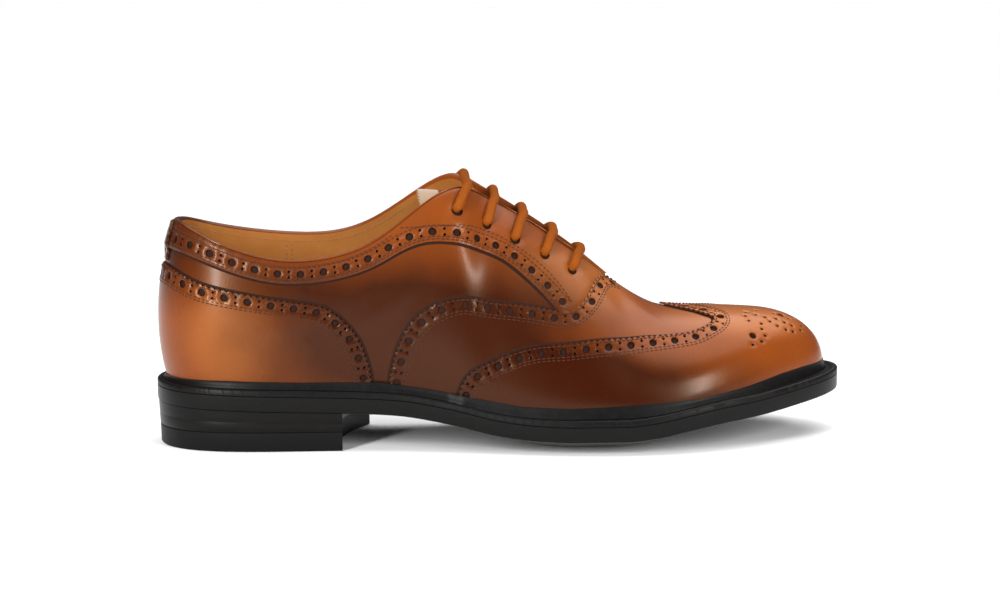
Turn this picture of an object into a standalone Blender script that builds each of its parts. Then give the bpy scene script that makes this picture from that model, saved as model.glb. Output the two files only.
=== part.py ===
"""A right-foot, full-brogue oxford shoe at life size.

The shoe points along +X, its inner side faces +Y, and it stands on the ground plane.
The upper is a family of ribs that climb from the welt to the top line. Every overlay,
hole and lace follows that same surface, addressed by turn (-1 at the toe, through the
outer side, 0 at the back of the heel, to +1 at the toe again) and rise (0 at the welt,
1 at the top line).
"""
import math

import bmesh
import bpy
import numpy as np
from mathutils import Matrix, Vector
from mathutils.geometry import delaunay_2d_cdt

# Driving sizes, in metres
SOLE_LENGTH = 0.305
SOLE_WIDTH = 0.105
HEEL_HEIGHT = 0.0190
TOP_PIECE_HEIGHT = 0.0085
TOE_SPRING = 0.0198
SOLE_CROWN = 0.0055
INSTEP_RISE = 0.0940
OUTSOLE_THICKNESS = 0.0066
WELT_THICKNESS = 0.0026
WELT_TUCK = 0.0080
INSOLE_THICKNESS = 0.0030
CLEARANCE = 0.0003
SOLE_GAP = 0.0005
WALL = 0.0020
LEATHER = 0.0011
OVERLAY_GAP = 0.0004
EYELET_RADIUS = 0.0022
LACE_RADIUS = 0.0015
TONGUE_THICKNESS = 0.0016

# Fineness of the forms
ROUND_COUNT = 64
RISE_COUNT = 9
ACROSS = (-1.0, -0.8, -0.58, -0.36, 0.0, 0.36, 0.58, 0.8, 1.0)
CHART_LENGTH = 0.350
CHART_HEIGHT = 0.085
EYELET_SEGMENTS = 10
EYELET_DEPTH = 0.012
MERGE_DISTANCE = 1e-6
SLIVER_AREA = 1e-10

# Smaller shares and sizes of the sole and heel
FLAT_SHARE = 0.36
CORE_LEVELS = (OUTSOLE_THICKNESS, OUTSOLE_THICKNESS + SOLE_GAP + WELT_THICKNESS)
HEEL_FRONT_LATERAL = 1.082
HEEL_FRONT_MEDIAL = 1.176
HEEL_ROWS = 9
HEEL_HOLLOW = 0.006
HEEL_INSETS = (0.0004, 0.0010, 0.0010, 0.0014)
INSOLE_MARGIN = 0.0008
STRAP_EXTRA = 0.0005

# Colours
TAN = (0.36, 0.125, 0.035)
TAN_LINING = (0.50, 0.24, 0.08)
BLACK = (0.012, 0.011, 0.011)
LACE_BROWN = (0.27, 0.115, 0.05)

# The tongue: rows of turn and depth under the wall, and a free top of shifts from the first row
TONGUE_RISES = (0.66, 0.75, 0.83, 0.90)
TONGUE_ROWS = (
    (0.460, 0.0076), (0.482, 0.0074), (0.508, 0.0073), (0.535, 0.0072), (0.561, 0.0071),
    (0.582, 0.0052), (0.600, 0.0034), (0.615, 0.0028), (0.630, 0.0027),
)
TONGUE_TOP = ((-0.0240, 0.0042), (-0.0160, 0.0034), (-0.0080, 0.0018))
TONGUE_CORNER = -0.0060

# The lace: heights over the wall and shares of the way from an eyelet to the throat
LACE_CLIMB = (-0.0036, -0.0004, 0.0028)
LACE_SHARES = (0.13, 0.40, 0.70, 0.97)
LACE_OVER = 0.0039
LACE_UNDER = 0.0050
LACE_CREST = 0.0010
LACE_RUN_SHARES = (0.14, 0.38, 0.62, 0.86)

# The sole seen from above: stations as shares of its length, half widths as shares of its width
OUTLINE_COLUMNS = ("station", "lateral", "medial", "ledge")
OUTLINE = (
    (0.000, 0.000, 0.000, 0.055),
    (0.015, 0.160, 0.160, 0.055),
    (0.060, 0.273, 0.272, 0.055),
    (0.140, 0.325, 0.316, 0.053),
    (0.250, 0.330, 0.293, 0.052),
    (0.360, 0.355, 0.268, 0.052),
    (0.460, 0.418, 0.292, 0.060),
    (0.560, 0.486, 0.368, 0.072),
    (0.645, 0.514, 0.444, 0.078),
    (0.720, 0.503, 0.481, 0.080),
    (0.790, 0.455, 0.470, 0.082),
    (0.860, 0.368, 0.426, 0.085),
    (0.920, 0.262, 0.350, 0.088),
    (0.970, 0.148, 0.250, 0.090),
    (1.000, -0.045, 0.045, 0.090),
)

# The edge of the sole seen from the side: shares of the heel's height, the toe's spring and the crown
PROFILE_COLUMNS = ("station", "heel", "toe", "crown")
PROFILE = (
    (0.00, 1.00, 0.00, 0.00),
    (0.16, 0.92, 0.00, 0.00),
    (0.27, 0.87, 0.00, 0.00),
    (0.34, 0.82, 0.00, 0.00),
    (0.42, 0.59, 0.00, 0.12),
    (0.48, 0.29, 0.00, 0.42),
    (0.54, 0.06, 0.00, 0.86),
    (0.59, 0.00, 0.00, 1.00),
    (0.66, 0.00, 0.00, 1.06),
    (0.70, 0.00, 0.07, 1.00),
    (0.75, 0.00, 0.26, 0.80),
    (0.80, 0.00, 0.44, 0.60),
    (0.86, 0.00, 0.59, 0.40),
    (0.93, 0.00, 0.79, 0.20),
    (1.00, 0.00, 1.00, 0.00),
)

# The edge of the opening and, past the throat, the ridge of the vamp
TOP_COLUMNS = ("station", "x", "lateral_y", "medial_y", "lateral_rise", "medial_rise", "slope")
TOP = (
    (0.000, 0.0325, 0.000, 0.000, 0.736, 0.736, 0.00),
    (0.015, 0.0430, -0.118, 0.118, 0.731, 0.731, 0.00),
    (0.060, 0.0770, -0.214, 0.214, 0.679, 0.699, 0.00),
    (0.130, 0.1360, -0.262, 0.256, 0.611, 0.668, 0.00),
    (0.200, 0.2000, -0.272, 0.262, 0.585, 0.655, 0.00),
    (0.265, 0.2650, -0.268, 0.258, 0.618, 0.672, 0.00),
    (0.320, 0.3200, -0.252, 0.246, 0.700, 0.745, 0.00),
    (0.370, 0.3700, -0.222, 0.224, 0.833, 0.865, -0.10),
    (0.410, 0.4090, -0.182, 0.190, 0.935, 0.965, -0.20),
    (0.438, 0.4370, -0.128, 0.142, 0.968, 1.003, -0.35),
    (0.460, 0.4585, -0.072, 0.092, 0.955, 0.988, -0.45),
    (0.500, 0.4990, -0.046, 0.064, 0.908, 0.932, -0.55),
    (0.560, 0.5600, -0.018, 0.046, 0.801, 0.819, -0.62),
    (0.620, 0.6200, 0.004, 0.032, 0.667, 0.675, -0.70),
    (0.655, 0.6520, 0.020, 0.028, 0.584, 0.585, -0.74),
    (0.690, 0.6830, 0.030, 0.030, 0.506, 0.506, -0.60),
    (0.740, 0.7260, 0.038, 0.038, 0.415, 0.415, -0.30),
    (0.800, 0.7700, 0.044, 0.044, 0.366, 0.366, -0.10),
    (0.860, 0.8080, 0.047, 0.047, 0.343, 0.343, -0.03),
    (0.930, 0.8400, 0.048, 0.048, 0.326, 0.326, 0.00),
    (1.000, 0.8540, 0.048, 0.048, 0.318, 0.318, 0.00),
)
THROAT_END = 0.645
THROAT_TAPER = 0.060

# How each wall swells: outward bulge and reach as shares of the sole's width, lift and drop as shares of the wall's height
WALL_COLUMNS = ("station", "bulge", "lift", "reach", "drop")
LATERAL_WALL = (
    (0.00, 0.060, 0.33, 0.072, 0.29),
    (0.06, 0.055, 0.33, 0.066, 0.32),
    (0.14, 0.045, 0.34, 0.056, 0.34),
    (0.25, 0.030, 0.34, 0.044, 0.34),
    (0.36, 0.020, 0.34, 0.080, 0.28),
    (0.42, 0.020, 0.34, 0.120, 0.19),
    (0.46, 0.020, 0.34, 0.160, 0.125),
    (0.50, 0.022, 0.34, 0.165, 0.115),
    (0.56, 0.025, 0.33, 0.170, 0.100),
    (0.62, 0.026, 0.35, 0.180, 0.055),
    (0.68, 0.024, 0.38, 0.190, 0.010),
    (0.74, 0.022, 0.44, 0.205, 0.000),
    (0.80, 0.020, 0.50, 0.220, 0.000),
    (0.86, 0.018, 0.54, 0.225, 0.000),
    (0.93, 0.016, 0.57, 0.225, -0.010),
    (1.00, 0.014, 0.58, 0.225, -0.020),
)
MEDIAL_WALL = (
    (0.00, 0.060, 0.33, 0.072, 0.29),
    (0.06, 0.056, 0.33, 0.066, 0.32),
    (0.14, 0.050, 0.34, 0.056, 0.34),
    (0.25, 0.058, 0.34, 0.044, 0.34),
    (0.36, 0.080, 0.34, 0.070, 0.28),
    (0.42, 0.084, 0.34, 0.115, 0.17),
    (0.46, 0.080, 0.34, 0.150, 0.100),
    (0.50, 0.070, 0.34, 0.160, 0.080),
    (0.56, 0.050, 0.34, 0.165, 0.060),
    (0.62, 0.036, 0.36, 0.175, 0.030),
    (0.68, 0.028, 0.40, 0.190, 0.005),
    (0.74, 0.022, 0.45, 0.205, 0.000),
    (0.80, 0.020, 0.50, 0.220, 0.000),
    (0.86, 0.018, 0.54, 0.225, 0.000),
    (0.93, 0.016, 0.57, 0.225, -0.010),
    (1.00, 0.014, 0.58, 0.225, -0.020),
)


def column(table, columns, name):
    """One named column of a table, as a list."""
    place = columns.index(name)
    return [row[place] for row in table]


def station_angle(station):
    """The angle round the shoe of a station: 0 at the back of the heel, pi at the tip of the toe."""
    return math.acos(max(-1.0, min(1.0, 1 - 2 * station)))


class Spline:
    """A natural cubic spline through rows of keys and values."""

    def __init__(self, keys, values):
        self.keys = np.array(keys, float)
        self.values = np.array(values, float)
        count = len(keys)
        step = np.diff(self.keys)
        slope = np.diff(self.values) / step
        matrix = np.eye(count)
        right = np.zeros(count)
        for i in range(1, count - 1):
            matrix[i, i - 1: i + 2] = step[i - 1], 2 * (step[i - 1] + step[i]), step[i]
            right[i] = 6 * (slope[i] - slope[i - 1])
        self.bend = np.linalg.solve(matrix, right)

    def __call__(self, key):
        i = int(np.clip(np.searchsorted(self.keys, key) - 1, 0, len(self.keys) - 2))
        step = self.keys[i + 1] - self.keys[i]
        a = (self.keys[i + 1] - key) / step
        b = 1 - a
        curved = (a**3 - a) * self.bend[i] + (b**3 - b) * self.bend[i + 1]
        return float(a * self.values[i] + b * self.values[i + 1] + curved * step**2 / 6)


def loop_spline(stations, lateral, medial):
    """A smooth closed curve of one value round the shoe, from the two sides' columns."""
    angles = [station_angle(s) for s in stations]
    keys = [-a for a in reversed(angles[1:])] + angles
    values = list(reversed(lateral[1:])) + list(medial)
    wrap = 4
    turn = 2 * math.pi
    before = [k - turn for k in keys[-wrap - 1: -1]]
    after = [k + turn for k in keys[1: wrap + 1]]
    return Spline(before + keys + after, values[-wrap - 1: -1] + values + values[1: wrap + 1])


def monotone(keys, values):
    """A curve through rows that never passes beyond them."""
    keys, values = np.array(keys, float), np.array(values, float)
    step, rise = np.diff(keys), np.diff(values)
    slope = rise / step
    ends = np.zeros(len(keys))
    for i in range(1, len(keys) - 1):
        if slope[i - 1] * slope[i] > 0:
            ends[i] = 2 * slope[i - 1] * slope[i] / (slope[i - 1] + slope[i])
    ends[0], ends[-1] = slope[0], slope[-1]

    def curve(key):
        i = int(np.clip(np.searchsorted(keys, key) - 1, 0, len(keys) - 2))
        t = (key - keys[i]) / step[i]
        return float(
            values[i] * (1 + 2 * t) * (1 - t) ** 2
            + values[i + 1] * t * t * (3 - 2 * t)
            + step[i] * (ends[i] * t * (1 - t) ** 2 - ends[i + 1] * t * t * (1 - t))
        )

    return curve


def outline_column(name):
    return column(OUTLINE, OUTLINE_COLUMNS, name)


def top_column(name):
    return column(TOP, TOP_COLUMNS, name)


OUTLINE_Y = loop_spline(
    outline_column("station"), [-v for v in outline_column("lateral")], outline_column("medial")
)
LEDGE = loop_spline(outline_column("station"), outline_column("ledge"), outline_column("ledge"))
EDGE_PARTS = {
    name: monotone(column(PROFILE, PROFILE_COLUMNS, "station"), column(PROFILE, PROFILE_COLUMNS, name))
    for name in ("heel", "toe", "crown")
}
TOP_X = loop_spline(top_column("station"), top_column("x"), top_column("x"))
TOP_Y = loop_spline(top_column("station"), top_column("lateral_y"), top_column("medial_y"))
TOP_RISE = loop_spline(top_column("station"), top_column("lateral_rise"), top_column("medial_rise"))
SLOPE = loop_spline(top_column("station"), top_column("slope"), top_column("slope"))
SWELL = {
    name: loop_spline(
        column(LATERAL_WALL, WALL_COLUMNS, "station"),
        column(LATERAL_WALL, WALL_COLUMNS, name),
        column(MEDIAL_WALL, WALL_COLUMNS, name),
    )
    for name in WALL_COLUMNS[1:]
}


def station_of(angle):
    return (1 - math.cos(angle)) / 2


def sole_edge(angle):
    return np.array([SOLE_LENGTH * station_of(angle), SOLE_WIDTH * OUTLINE_Y(angle)])


def edge_normal(angle):
    """The direction straight out from the sole's edge, seen from above."""
    nudge = 1e-3
    along = sole_edge(angle + nudge) - sole_edge(angle - nudge)
    out = np.array([-along[1], along[0]])
    return out / np.linalg.norm(out)


def inset_edge(angle, inset):
    return sole_edge(angle) - edge_normal(angle) * inset


def ledge_width(angle):
    return SOLE_WIDTH * LEDGE(angle)


def tread_height(x, crown_share):
    """The underside of the sole at a length x: crown_share is 1 at the edge and 0 in the middle."""
    station = min(1.0, max(0.0, x / SOLE_LENGTH))
    heel = HEEL_HEIGHT * EDGE_PARTS["heel"](station)
    toe = TOE_SPRING * EDGE_PARTS["toe"](station)
    return heel + toe + crown_share * SOLE_CROWN * EDGE_PARTS["crown"](station)


def deck_height(x):
    """The top of the welt at a length x."""
    return tread_height(x, 1) + OUTSOLE_THICKNESS + SOLE_GAP + WELT_THICKNESS


def open_share(angle):
    """1 where the two sides part, falling to 0 at the end of the throat."""
    left = (THROAT_END - station_of(angle)) / THROAT_TAPER
    left = min(1.0, max(0.0, left))
    return left * left * (3 - 2 * left)


def paired(curve, angle):
    """A value of one side that both sides share past the end of the throat."""
    here, other = curve(angle), curve(-angle)
    return (here + other) / 2 + (here - other) / 2 * open_share(angle)


def rib_ends(angle):
    foot_xy = inset_edge(angle, ledge_width(angle))
    foot = np.array([*foot_xy, deck_height(foot_xy[0]) + CLEARANCE])
    x = SOLE_LENGTH * TOP_X(angle)
    top = np.array(
        [x, SOLE_WIDTH * paired(TOP_Y, angle), deck_height(x) + INSTEP_RISE * paired(TOP_RISE, angle)]
    )
    return foot, top


def ridge_slope(angle):
    return SLOPE(abs(angle))


def rib(angle):
    """The four control points of the wall's curve at one angle, from the welt up to the top line."""
    foot, top = rib_ends(angle)
    height = top[2] - foot[2]
    out = np.array([*edge_normal(angle), 0.0])
    across = np.array([*(foot - top)[:2], 0.0])
    near_back = min(1.0, np.linalg.norm(across) / (0.2 * SOLE_WIDTH))
    across = across / max(np.linalg.norm(across), 1e-9)
    fan = near_back * across + (1 - near_back) * out
    fan = fan / np.linalg.norm(fan)
    low = foot + out * SOLE_WIDTH * SWELL["bulge"](angle)
    low[2] += height * SWELL["lift"](angle)
    reach = SOLE_WIDTH * SWELL["reach"](angle)
    high = top + fan * reach
    closed = 1 - open_share(angle)
    high[2] -= height * SWELL["drop"](angle) - closed * ridge_slope(angle) * fan[0] * reach
    return foot, low, high, top


def wall_point(angle, share):
    foot, low, high, top = rib(angle)
    left = 1 - share
    return left**3 * foot + 3 * left**2 * share * low + 3 * left * share**2 * high + share**3 * top


def surface_normal(turn, rise):
    """The outward direction of the wall at one place."""
    angle = turn * math.pi
    if rise > 0.995 and station_of(angle) >= THROAT_END:
        ridge = np.array([-ridge_slope(angle), 0.0, 1.0])
        return ridge / np.linalg.norm(ridge)
    nudge = 1e-3
    along = wall_point(angle + nudge, rise) - wall_point(angle - nudge, rise)
    up = wall_point(angle, min(1.0, rise + nudge)) - wall_point(angle, max(0.0, rise - nudge))
    out = np.cross(up, along)
    return out / np.linalg.norm(out)


def on_wall(turn, rise, offset):
    """A point at a distance outside the wall, or inside it where the distance is negative."""
    on_ridge = rise > 0.9999 and station_of(turn * math.pi) >= THROAT_END
    if on_ridge or abs(turn) > 0.9999:
        turn = abs(turn)
    return wall_point(turn * math.pi, rise) + surface_normal(turn, rise) * offset


# Outlines of the leather pieces over one side: (turn, rise), the other side mirrors it
FOOT_MARGIN = 0.02
TOP_MARGIN = 0.985
VAMP_BACK = (
    (0.388, FOOT_MARGIN), (0.392, 0.16), (0.399, 0.29), (0.411, 0.394), (0.424, 0.434),
    (0.440, 0.446), (0.476, 0.446), (0.508, 0.478), (0.540, 0.508), (0.557, 0.535),
    (0.568, 0.595), (0.577, 0.690), (0.587, 0.830), (0.598, 0.935), (0.612, 1.0),
)
WING_EDGE = (
    (0.450, FOOT_MARGIN), (0.460, 0.130), (0.473, 0.188), (0.489, 0.237), (0.518, 0.315),
    (0.545, 0.358), (0.578, 0.408), (0.608, 0.468), (0.638, 0.530), (0.669, 0.572),
    (0.697, 0.606), (0.716, 0.655), (0.729, 0.710), (0.732, 0.752), (0.725, 0.795),
    (0.714, 0.850), (0.700, 0.905), (0.682, 0.955), (0.659, 1.0),
)
COUNTER_EDGE = (
    (0.000, 0.712), (0.060, 0.712), (0.120, 0.702), (0.160, 0.696), (0.200, 0.704),
    (0.240, 0.713), (0.280, 0.708), (0.308, 0.685), (0.328, 0.640), (0.344, 0.545),
    (0.356, 0.440), (0.366, 0.300), (0.372, 0.150), (0.375, FOOT_MARGIN),
)
FACING_EDGE = (
    (0.070, TOP_MARGIN), (0.070, 0.818), (0.110, 0.833), (0.150, 0.845), (0.210, 0.843),
    (0.255, 0.835), (0.290, 0.833), (0.323, 0.836), (0.356, 0.836), (0.383, 0.829),
    (0.406, 0.810), (0.425, 0.765), (0.444, 0.708), (0.465, 0.662), (0.493, 0.642),
    (0.509, 0.622), (0.522, 0.585), (0.532, 0.532), (0.549, 0.560), (0.559, 0.620),
    (0.568, 0.710), (0.578, 0.845), (0.586, 0.950), (0.587, TOP_MARGIN),
)
STRAP_HALF_WIDTH = 0.062
STRAP_FOOT = 0.735
EYELETS = ((0.4580, 0.810), (0.4830, 0.775), (0.5080, 0.772), (0.5350, 0.772), (0.5610, 0.768))


# Building blocks

def new_object(name, vertices, faces, colour, roughness):
    """A named object with its own material, from a list of points and faces."""
    mesh = bpy.data.meshes.new(name)
    mesh.from_pydata([tuple(v) for v in vertices], [], faces)
    tidy_mesh(mesh)
    material = bpy.data.materials.new(name)
    material.use_nodes = True
    shader = material.node_tree.nodes["Principled BSDF"]
    shader.inputs["Base Color"].default_value = (*colour, 1.0)
    shader.inputs["Roughness"].default_value = roughness
    shader.inputs["Metallic"].default_value = 0.0
    mesh.materials.append(material)
    thing = bpy.data.objects.new(name, mesh)
    SHOE.objects.link(thing)
    return thing


def tidy_mesh(mesh):
    """Joins doubled points, drops empty faces and loose points, and turns faces outward."""
    work = bmesh.new()
    work.from_mesh(mesh)
    bmesh.ops.remove_doubles(work, verts=work.verts, dist=MERGE_DISTANCE)
    bmesh.ops.dissolve_degenerate(work, dist=MERGE_DISTANCE, edges=work.edges)
    loose = [v for v in work.verts if not v.link_faces]
    bmesh.ops.delete(work, geom=loose, context="VERTS")
    bmesh.ops.recalc_face_normals(work, faces=work.faces)
    work.to_mesh(mesh)
    work.free()


def loop_solid(name, loops, colour, roughness, ring=False):
    """A solid skinned over loops of equal length, closed by rows across or into a ring."""
    count = len(loops[0])
    vertices = [p for loop in loops for p in loop]
    faces = []
    bands = len(loops) if ring else len(loops) - 1
    for k in range(bands):
        low, high = k * count, (k + 1) % len(loops) * count
        for i in range(count):
            j = (i + 1) % count
            faces.append((low + i, low + j, high + j, high + i))
    if not ring:
        for start in (0, (len(loops) - 1) * count):
            for i in range(count // 2):
                j, across, beside = i + 1, (count - i) % count, count - i - 1
                face = (start + i, start + j, start + beside, start + across)
                faces.append(tuple(dict.fromkeys(face)))
    return new_object(name, vertices, [f for f in faces if len(f) > 2], colour, roughness)


def edge_loop(inset, height):
    """A loop of points round the shoe, inset from the sole's edge."""
    points = []
    for i in range(ROUND_COUNT):
        angle = -math.pi + 2 * math.pi * i / ROUND_COUNT
        x, y = inset_edge(angle, inset(angle))
        points.append(np.array([x, y, height(x)]))
    return points


def plate_grid(left, right, height):
    """Rows of points across from the left line to the right line, at a height each."""
    rows = []
    for a, b in zip(left, right):
        row = []
        for share in ACROSS:
            x, y = a + (b - a) * (share + 1) / 2
            row.append(np.array([x, y, height(x, share)]))
        rows.append(row)
    return rows


def grid_plate(name, under, over, colour, roughness):
    """A closed plate between two grids of rows, the first and last row at its ends."""
    height, width = len(under), len(under[0])
    vertices = [p for row in under for p in row] + [p for row in over for p in row]
    top = height * width
    faces = []
    for i in range(height - 1):
        for j in range(width - 1):
            a, b = i * width + j, (i + 1) * width + j
            faces.append((a, a + 1, b + 1, b))
            faces.append((top + a, top + b, top + b + 1, top + a + 1))
        for j in (0, width - 1):
            a, b = i * width + j, (i + 1) * width + j
            faces.append((a, b, top + b, top + a))
    for i in (0, height - 1):
        for j in range(width - 1):
            a = i * width + j
            faces.append((a, a + 1, top + a + 1, top + a))
    return new_object(name, vertices, faces, colour, roughness)


def chart(turn, rise):
    """The flat map in which the leather pieces are cut, close to their real proportions."""
    return turn * CHART_LENGTH, rise * CHART_HEIGHT


def wall_nodes():
    """The wall's grid: the point and outward direction at each node, by turn and by rise."""
    nodes = []
    for i in range(ROUND_COUNT):
        turn = -1 + 2 * i / ROUND_COUNT
        rises = [k / RISE_COUNT for k in range(RISE_COUNT + 1)]
        nodes.append([(on_wall(turn, r, 0.0), on_wall(turn, r, 1.0)) for r in rises])
    return [[(point, ahead - point) for point, ahead in column] for column in nodes]


def on_facets(turn, rise, offset):
    """A point at a distance from the wall's facets, so that layers over it stay parallel."""
    across = (turn + 1) / 2 * ROUND_COUNT
    up = rise * RISE_COUNT
    i = min(int(across), ROUND_COUNT - 1)
    k = min(int(up), RISE_COUNT - 1)
    across, up = across - i, up - k

    def node(column, row):
        point, out = NODES[column % ROUND_COUNT][row]
        return point + out * offset

    first, last = node(i, k), node(i + 1, k + 1)
    if across >= up:
        beside = node(i + 1, k)
        return first + (beside - first) * across + (last - beside) * up
    above = node(i, k + 1)
    return first + (above - first) * up + (last - above) * across


def flat_cut(outline, first, last):
    """Triangles of the flat map between two columns of the grid, parted along an outline."""
    flat = [chart(*p) for p in outline]
    count = len(flat)
    edges = [(i, (i + 1) % count) for i in range(count)]
    column_size = RISE_COUNT + 1
    for i in range(first, last + 1):
        flat += [chart(-1 + 2 * i / ROUND_COUNT, k / RISE_COUNT) for k in range(column_size)]
        a = count + (i - first) * column_size
        for k in range(RISE_COUNT):
            edges.append((a + k, a + k + 1))
            if i < last:
                b = a + column_size
                edges += [(a + k, b + k), (a + k, b + k + 1)]
        if i < last:
            edges.append((a + RISE_COUNT, a + column_size + RISE_COUNT))
    points, _, triangles, *_ = delaunay_2d_cdt([Vector(p) for p in flat], edges, [], 0, 1e-7)
    places = [(p[0] / CHART_LENGTH, p[1] / CHART_HEIGHT) for p in points]
    solid = [tuple(t) for t in triangles if size_of([points[i] for i in t]) > SLIVER_AREA]
    held = [t for t in solid if within(flat[:count], [points[i] for i in t])]
    return places, solid, held


def border(triangles):
    """The edges that only one of the triangles has."""
    used = {edge for a, b, c in triangles for edge in ((a, b), (b, c), (c, a))}
    return [(a, b) for a, b in used if (b, a) not in used]


def cut_piece(outline, low, high):
    """A leather piece cut to an outline on the flat map: points on its two faces, and faces."""
    turns = [p[0] for p in outline]
    first = math.floor((min(turns) + 1) / 2 * ROUND_COUNT)
    last = math.ceil((max(turns) + 1) / 2 * ROUND_COUNT)
    places, _, triangles = flat_cut(outline, first, last)
    total = len(places)
    vertices = [on_facets(*p, offset) for offset in (low, high) for p in places]
    faces = []
    for a, b, c in triangles:
        faces += [(a, c, b), (a + total, b + total, c + total)]
    for a, b in border(triangles):
        if not hidden_seam(places[a], places[b]):
            faces.append((a, b, b + total, a + total))
    return vertices, faces


def stepped_wall(outline, side):
    """One side of the upper: a wall that is one leather thicker inside an outline."""
    first, last = (0, ROUND_COUNT // 2) if side < 0 else (ROUND_COUNT // 2, ROUND_COUNT)
    places, triangles, raised = flat_cut(outline, first, last)
    total = len(places)
    vertices = [on_facets(*p, offset) for offset in (-WALL, 0.0, LEATHER) for p in places]
    raised = set(raised)
    faces = []
    for a, b, c in triangles:
        up = 2 * total if (a, b, c) in raised else total
        faces += [(a, c, b), (a + up, b + up, c + up)]
    for a, b in border(raised):
        if not hidden_seam(places[a], places[b]):
            faces.append((a + total, b + total, b + 2 * total, a + 2 * total))
    for a, b in border(triangles):
        if not hidden_seam(places[a], places[b]):
            faces.append((a, b, b + total, a + total))
    return vertices, faces


def size_of(triangle):
    (ax, ay), (bx, by), (cx, cy) = triangle
    return abs((bx - ax) * (cy - ay) - (by - ay) * (cx - ax)) / 2


def within(outline, triangle):
    """Whether a triangle's middle lies inside an outline."""
    x, y = (sum(p[k] for p in triangle) / 3 for k in (0, 1))
    crossings = 0
    for (ax, ay), (bx, by) in zip(outline, outline[1:] + outline[:1]):
        if (ay > y) != (by > y) and x < ax + (bx - ax) * (y - ay) / (by - ay):
            crossings += 1
    return crossings % 2 == 1


def hidden_seam(first, second):
    """Whether an edge lies where the two sides of a piece join: the ridge or the tip."""
    shut = [p for p in (first, second) if station_of(p[0] * math.pi) >= THROAT_END]
    on_ridge = len(shut) == 2 and all(p[1] > 0.9999 for p in shut)
    at_tip = all(abs(p[0]) > 0.9999 for p in (first, second))
    at_heel = all(abs(p[0]) < 0.0001 for p in (first, second))
    return on_ridge or at_tip or at_heel


def both_sides(outline, make):
    """One outline used on the outer side and, mirrored, on the inner side, as one set of faces."""
    vertices, faces = [], []
    for side in (-1, 1):
        turned = [(side * turn, rise) for turn, rise in outline]
        more, shells = make(turned, side)
        faces += [tuple(i + len(vertices) for i in face) for face in shells]
        vertices += more
    return vertices, faces


def front_outline(back_edge):
    """An outline that runs up a piece's back edge, along the ridge and down the tip of the toe."""
    return list(back_edge) + [(1.0, 1.0), (1.0, FOOT_MARGIN)]


def cut_out(target, cutter, operation):
    """Applies one boolean and removes the tool."""
    change = target.modifiers.new(cutter.name, "BOOLEAN")
    change.operation = operation
    change.object = cutter
    change.solver = "EXACT"
    view = bpy.context.evaluated_depsgraph_get()
    mesh = bpy.data.meshes.new_from_object(target.evaluated_get(view))
    target.modifiers.clear()
    old = target.data
    target.data = mesh
    mesh.name = old.name + " cut"
    tidy_mesh(mesh)
    bpy.data.meshes.remove(old)


def eyelet_cutter(turn, rise):
    """A pin square to the wall, for one lace hole."""
    work = bmesh.new()
    bmesh.ops.create_cone(
        work, cap_ends=True, segments=EYELET_SEGMENTS,
        radius1=EYELET_RADIUS, radius2=EYELET_RADIUS, depth=EYELET_DEPTH,
    )
    middle = Vector(on_facets(turn, rise, 0.0))
    ahead = Vector(on_facets(turn, rise, EYELET_DEPTH))
    aim = (ahead - middle).to_track_quat("Z", "Y").to_matrix().to_4x4()
    bmesh.ops.transform(work, matrix=Matrix.Translation(middle) @ aim, verts=work.verts)
    mesh = bpy.data.meshes.new("eyelet pin")
    work.to_mesh(mesh)
    work.free()
    pin = bpy.data.objects.new("eyelet pin", mesh)
    pin.hide_render = True
    pin.display_type = "WIRE"
    TOOLS.objects.link(pin)
    return pin


# The sole

def tread_loop_height(x):
    return tread_height(x, 1)


def make_outsole():
    """The plate on the ground, crowned across the ball, with a core that fills the welt."""
    sides = []
    for side in (-1, 1):
        angles = [side * math.pi * i / (ROUND_COUNT // 2) for i in range(ROUND_COUNT // 2 + 1)]
        sides.append([inset_edge(a, 0.0) for a in angles])
    rows = plate_grid(*sides, lambda x, share: tread_height(x, crown_share(share)))
    edge = edge_loop(lambda a: 0.0, tread_loop_height)
    ring_top = edge_loop(lambda a: 0.0, lambda x: tread_height(x, 1) + OUTSOLE_THICKNESS)
    core = [edge_loop(core_inset, lambda x, up=up: tread_height(x, 1) + up) for up in CORE_LEVELS]
    loops = [edge, ring_top] + core
    count = ROUND_COUNT
    vertices = [p for loop in loops for p in loop]
    faces = []
    for k in range(len(loops) - 1):
        for i in range(count):
            j = (i + 1) % count
            faces.append((k * count + i, k * count + j, (k + 1) * count + j, (k + 1) * count + i))
    start = (len(loops) - 1) * count
    for i in range(count // 2):
        face = (start + i, start + i + 1, start + count - i - 1, start + (count - i) % count)
        faces.append(tuple(dict.fromkeys(face)))
    first = len(vertices)
    width = len(ACROSS)
    vertices += [p for row in rows for p in row]
    for i in range(len(rows) - 1):
        for j in range(width - 1):
            a = first + i * width + j
            faces.append((a, a + 1, a + width + 1, a + width))
    return new_object("outsole", vertices, faces, BLACK, 0.45)


def crown_share(share):
    """0 over the flat middle of the tread, 1 at its edge."""
    past = max(0.0, (abs(share) - FLAT_SHARE) / (1 - FLAT_SHARE))
    return past * past


def core_inset(angle):
    return ledge_width(angle) + WELT_TUCK + CLEARANCE


def make_welt():
    """The strip stitched round the upper, lying on the outsole."""
    low = OUTSOLE_THICKNESS + SOLE_GAP
    high = low + WELT_THICKNESS
    inner = lambda a: ledge_width(a) + WELT_TUCK
    loops = [
        edge_loop(lambda a: 0.0, lambda x: tread_height(x, 1) + low),
        edge_loop(lambda a: 0.0, lambda x: tread_height(x, 1) + high),
        edge_loop(inner, lambda x: tread_height(x, 1) + high),
        edge_loop(inner, lambda x: tread_height(x, 1) + low),
    ]
    return loop_solid("welt", loops, BLACK, 0.5, ring=True)


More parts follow.
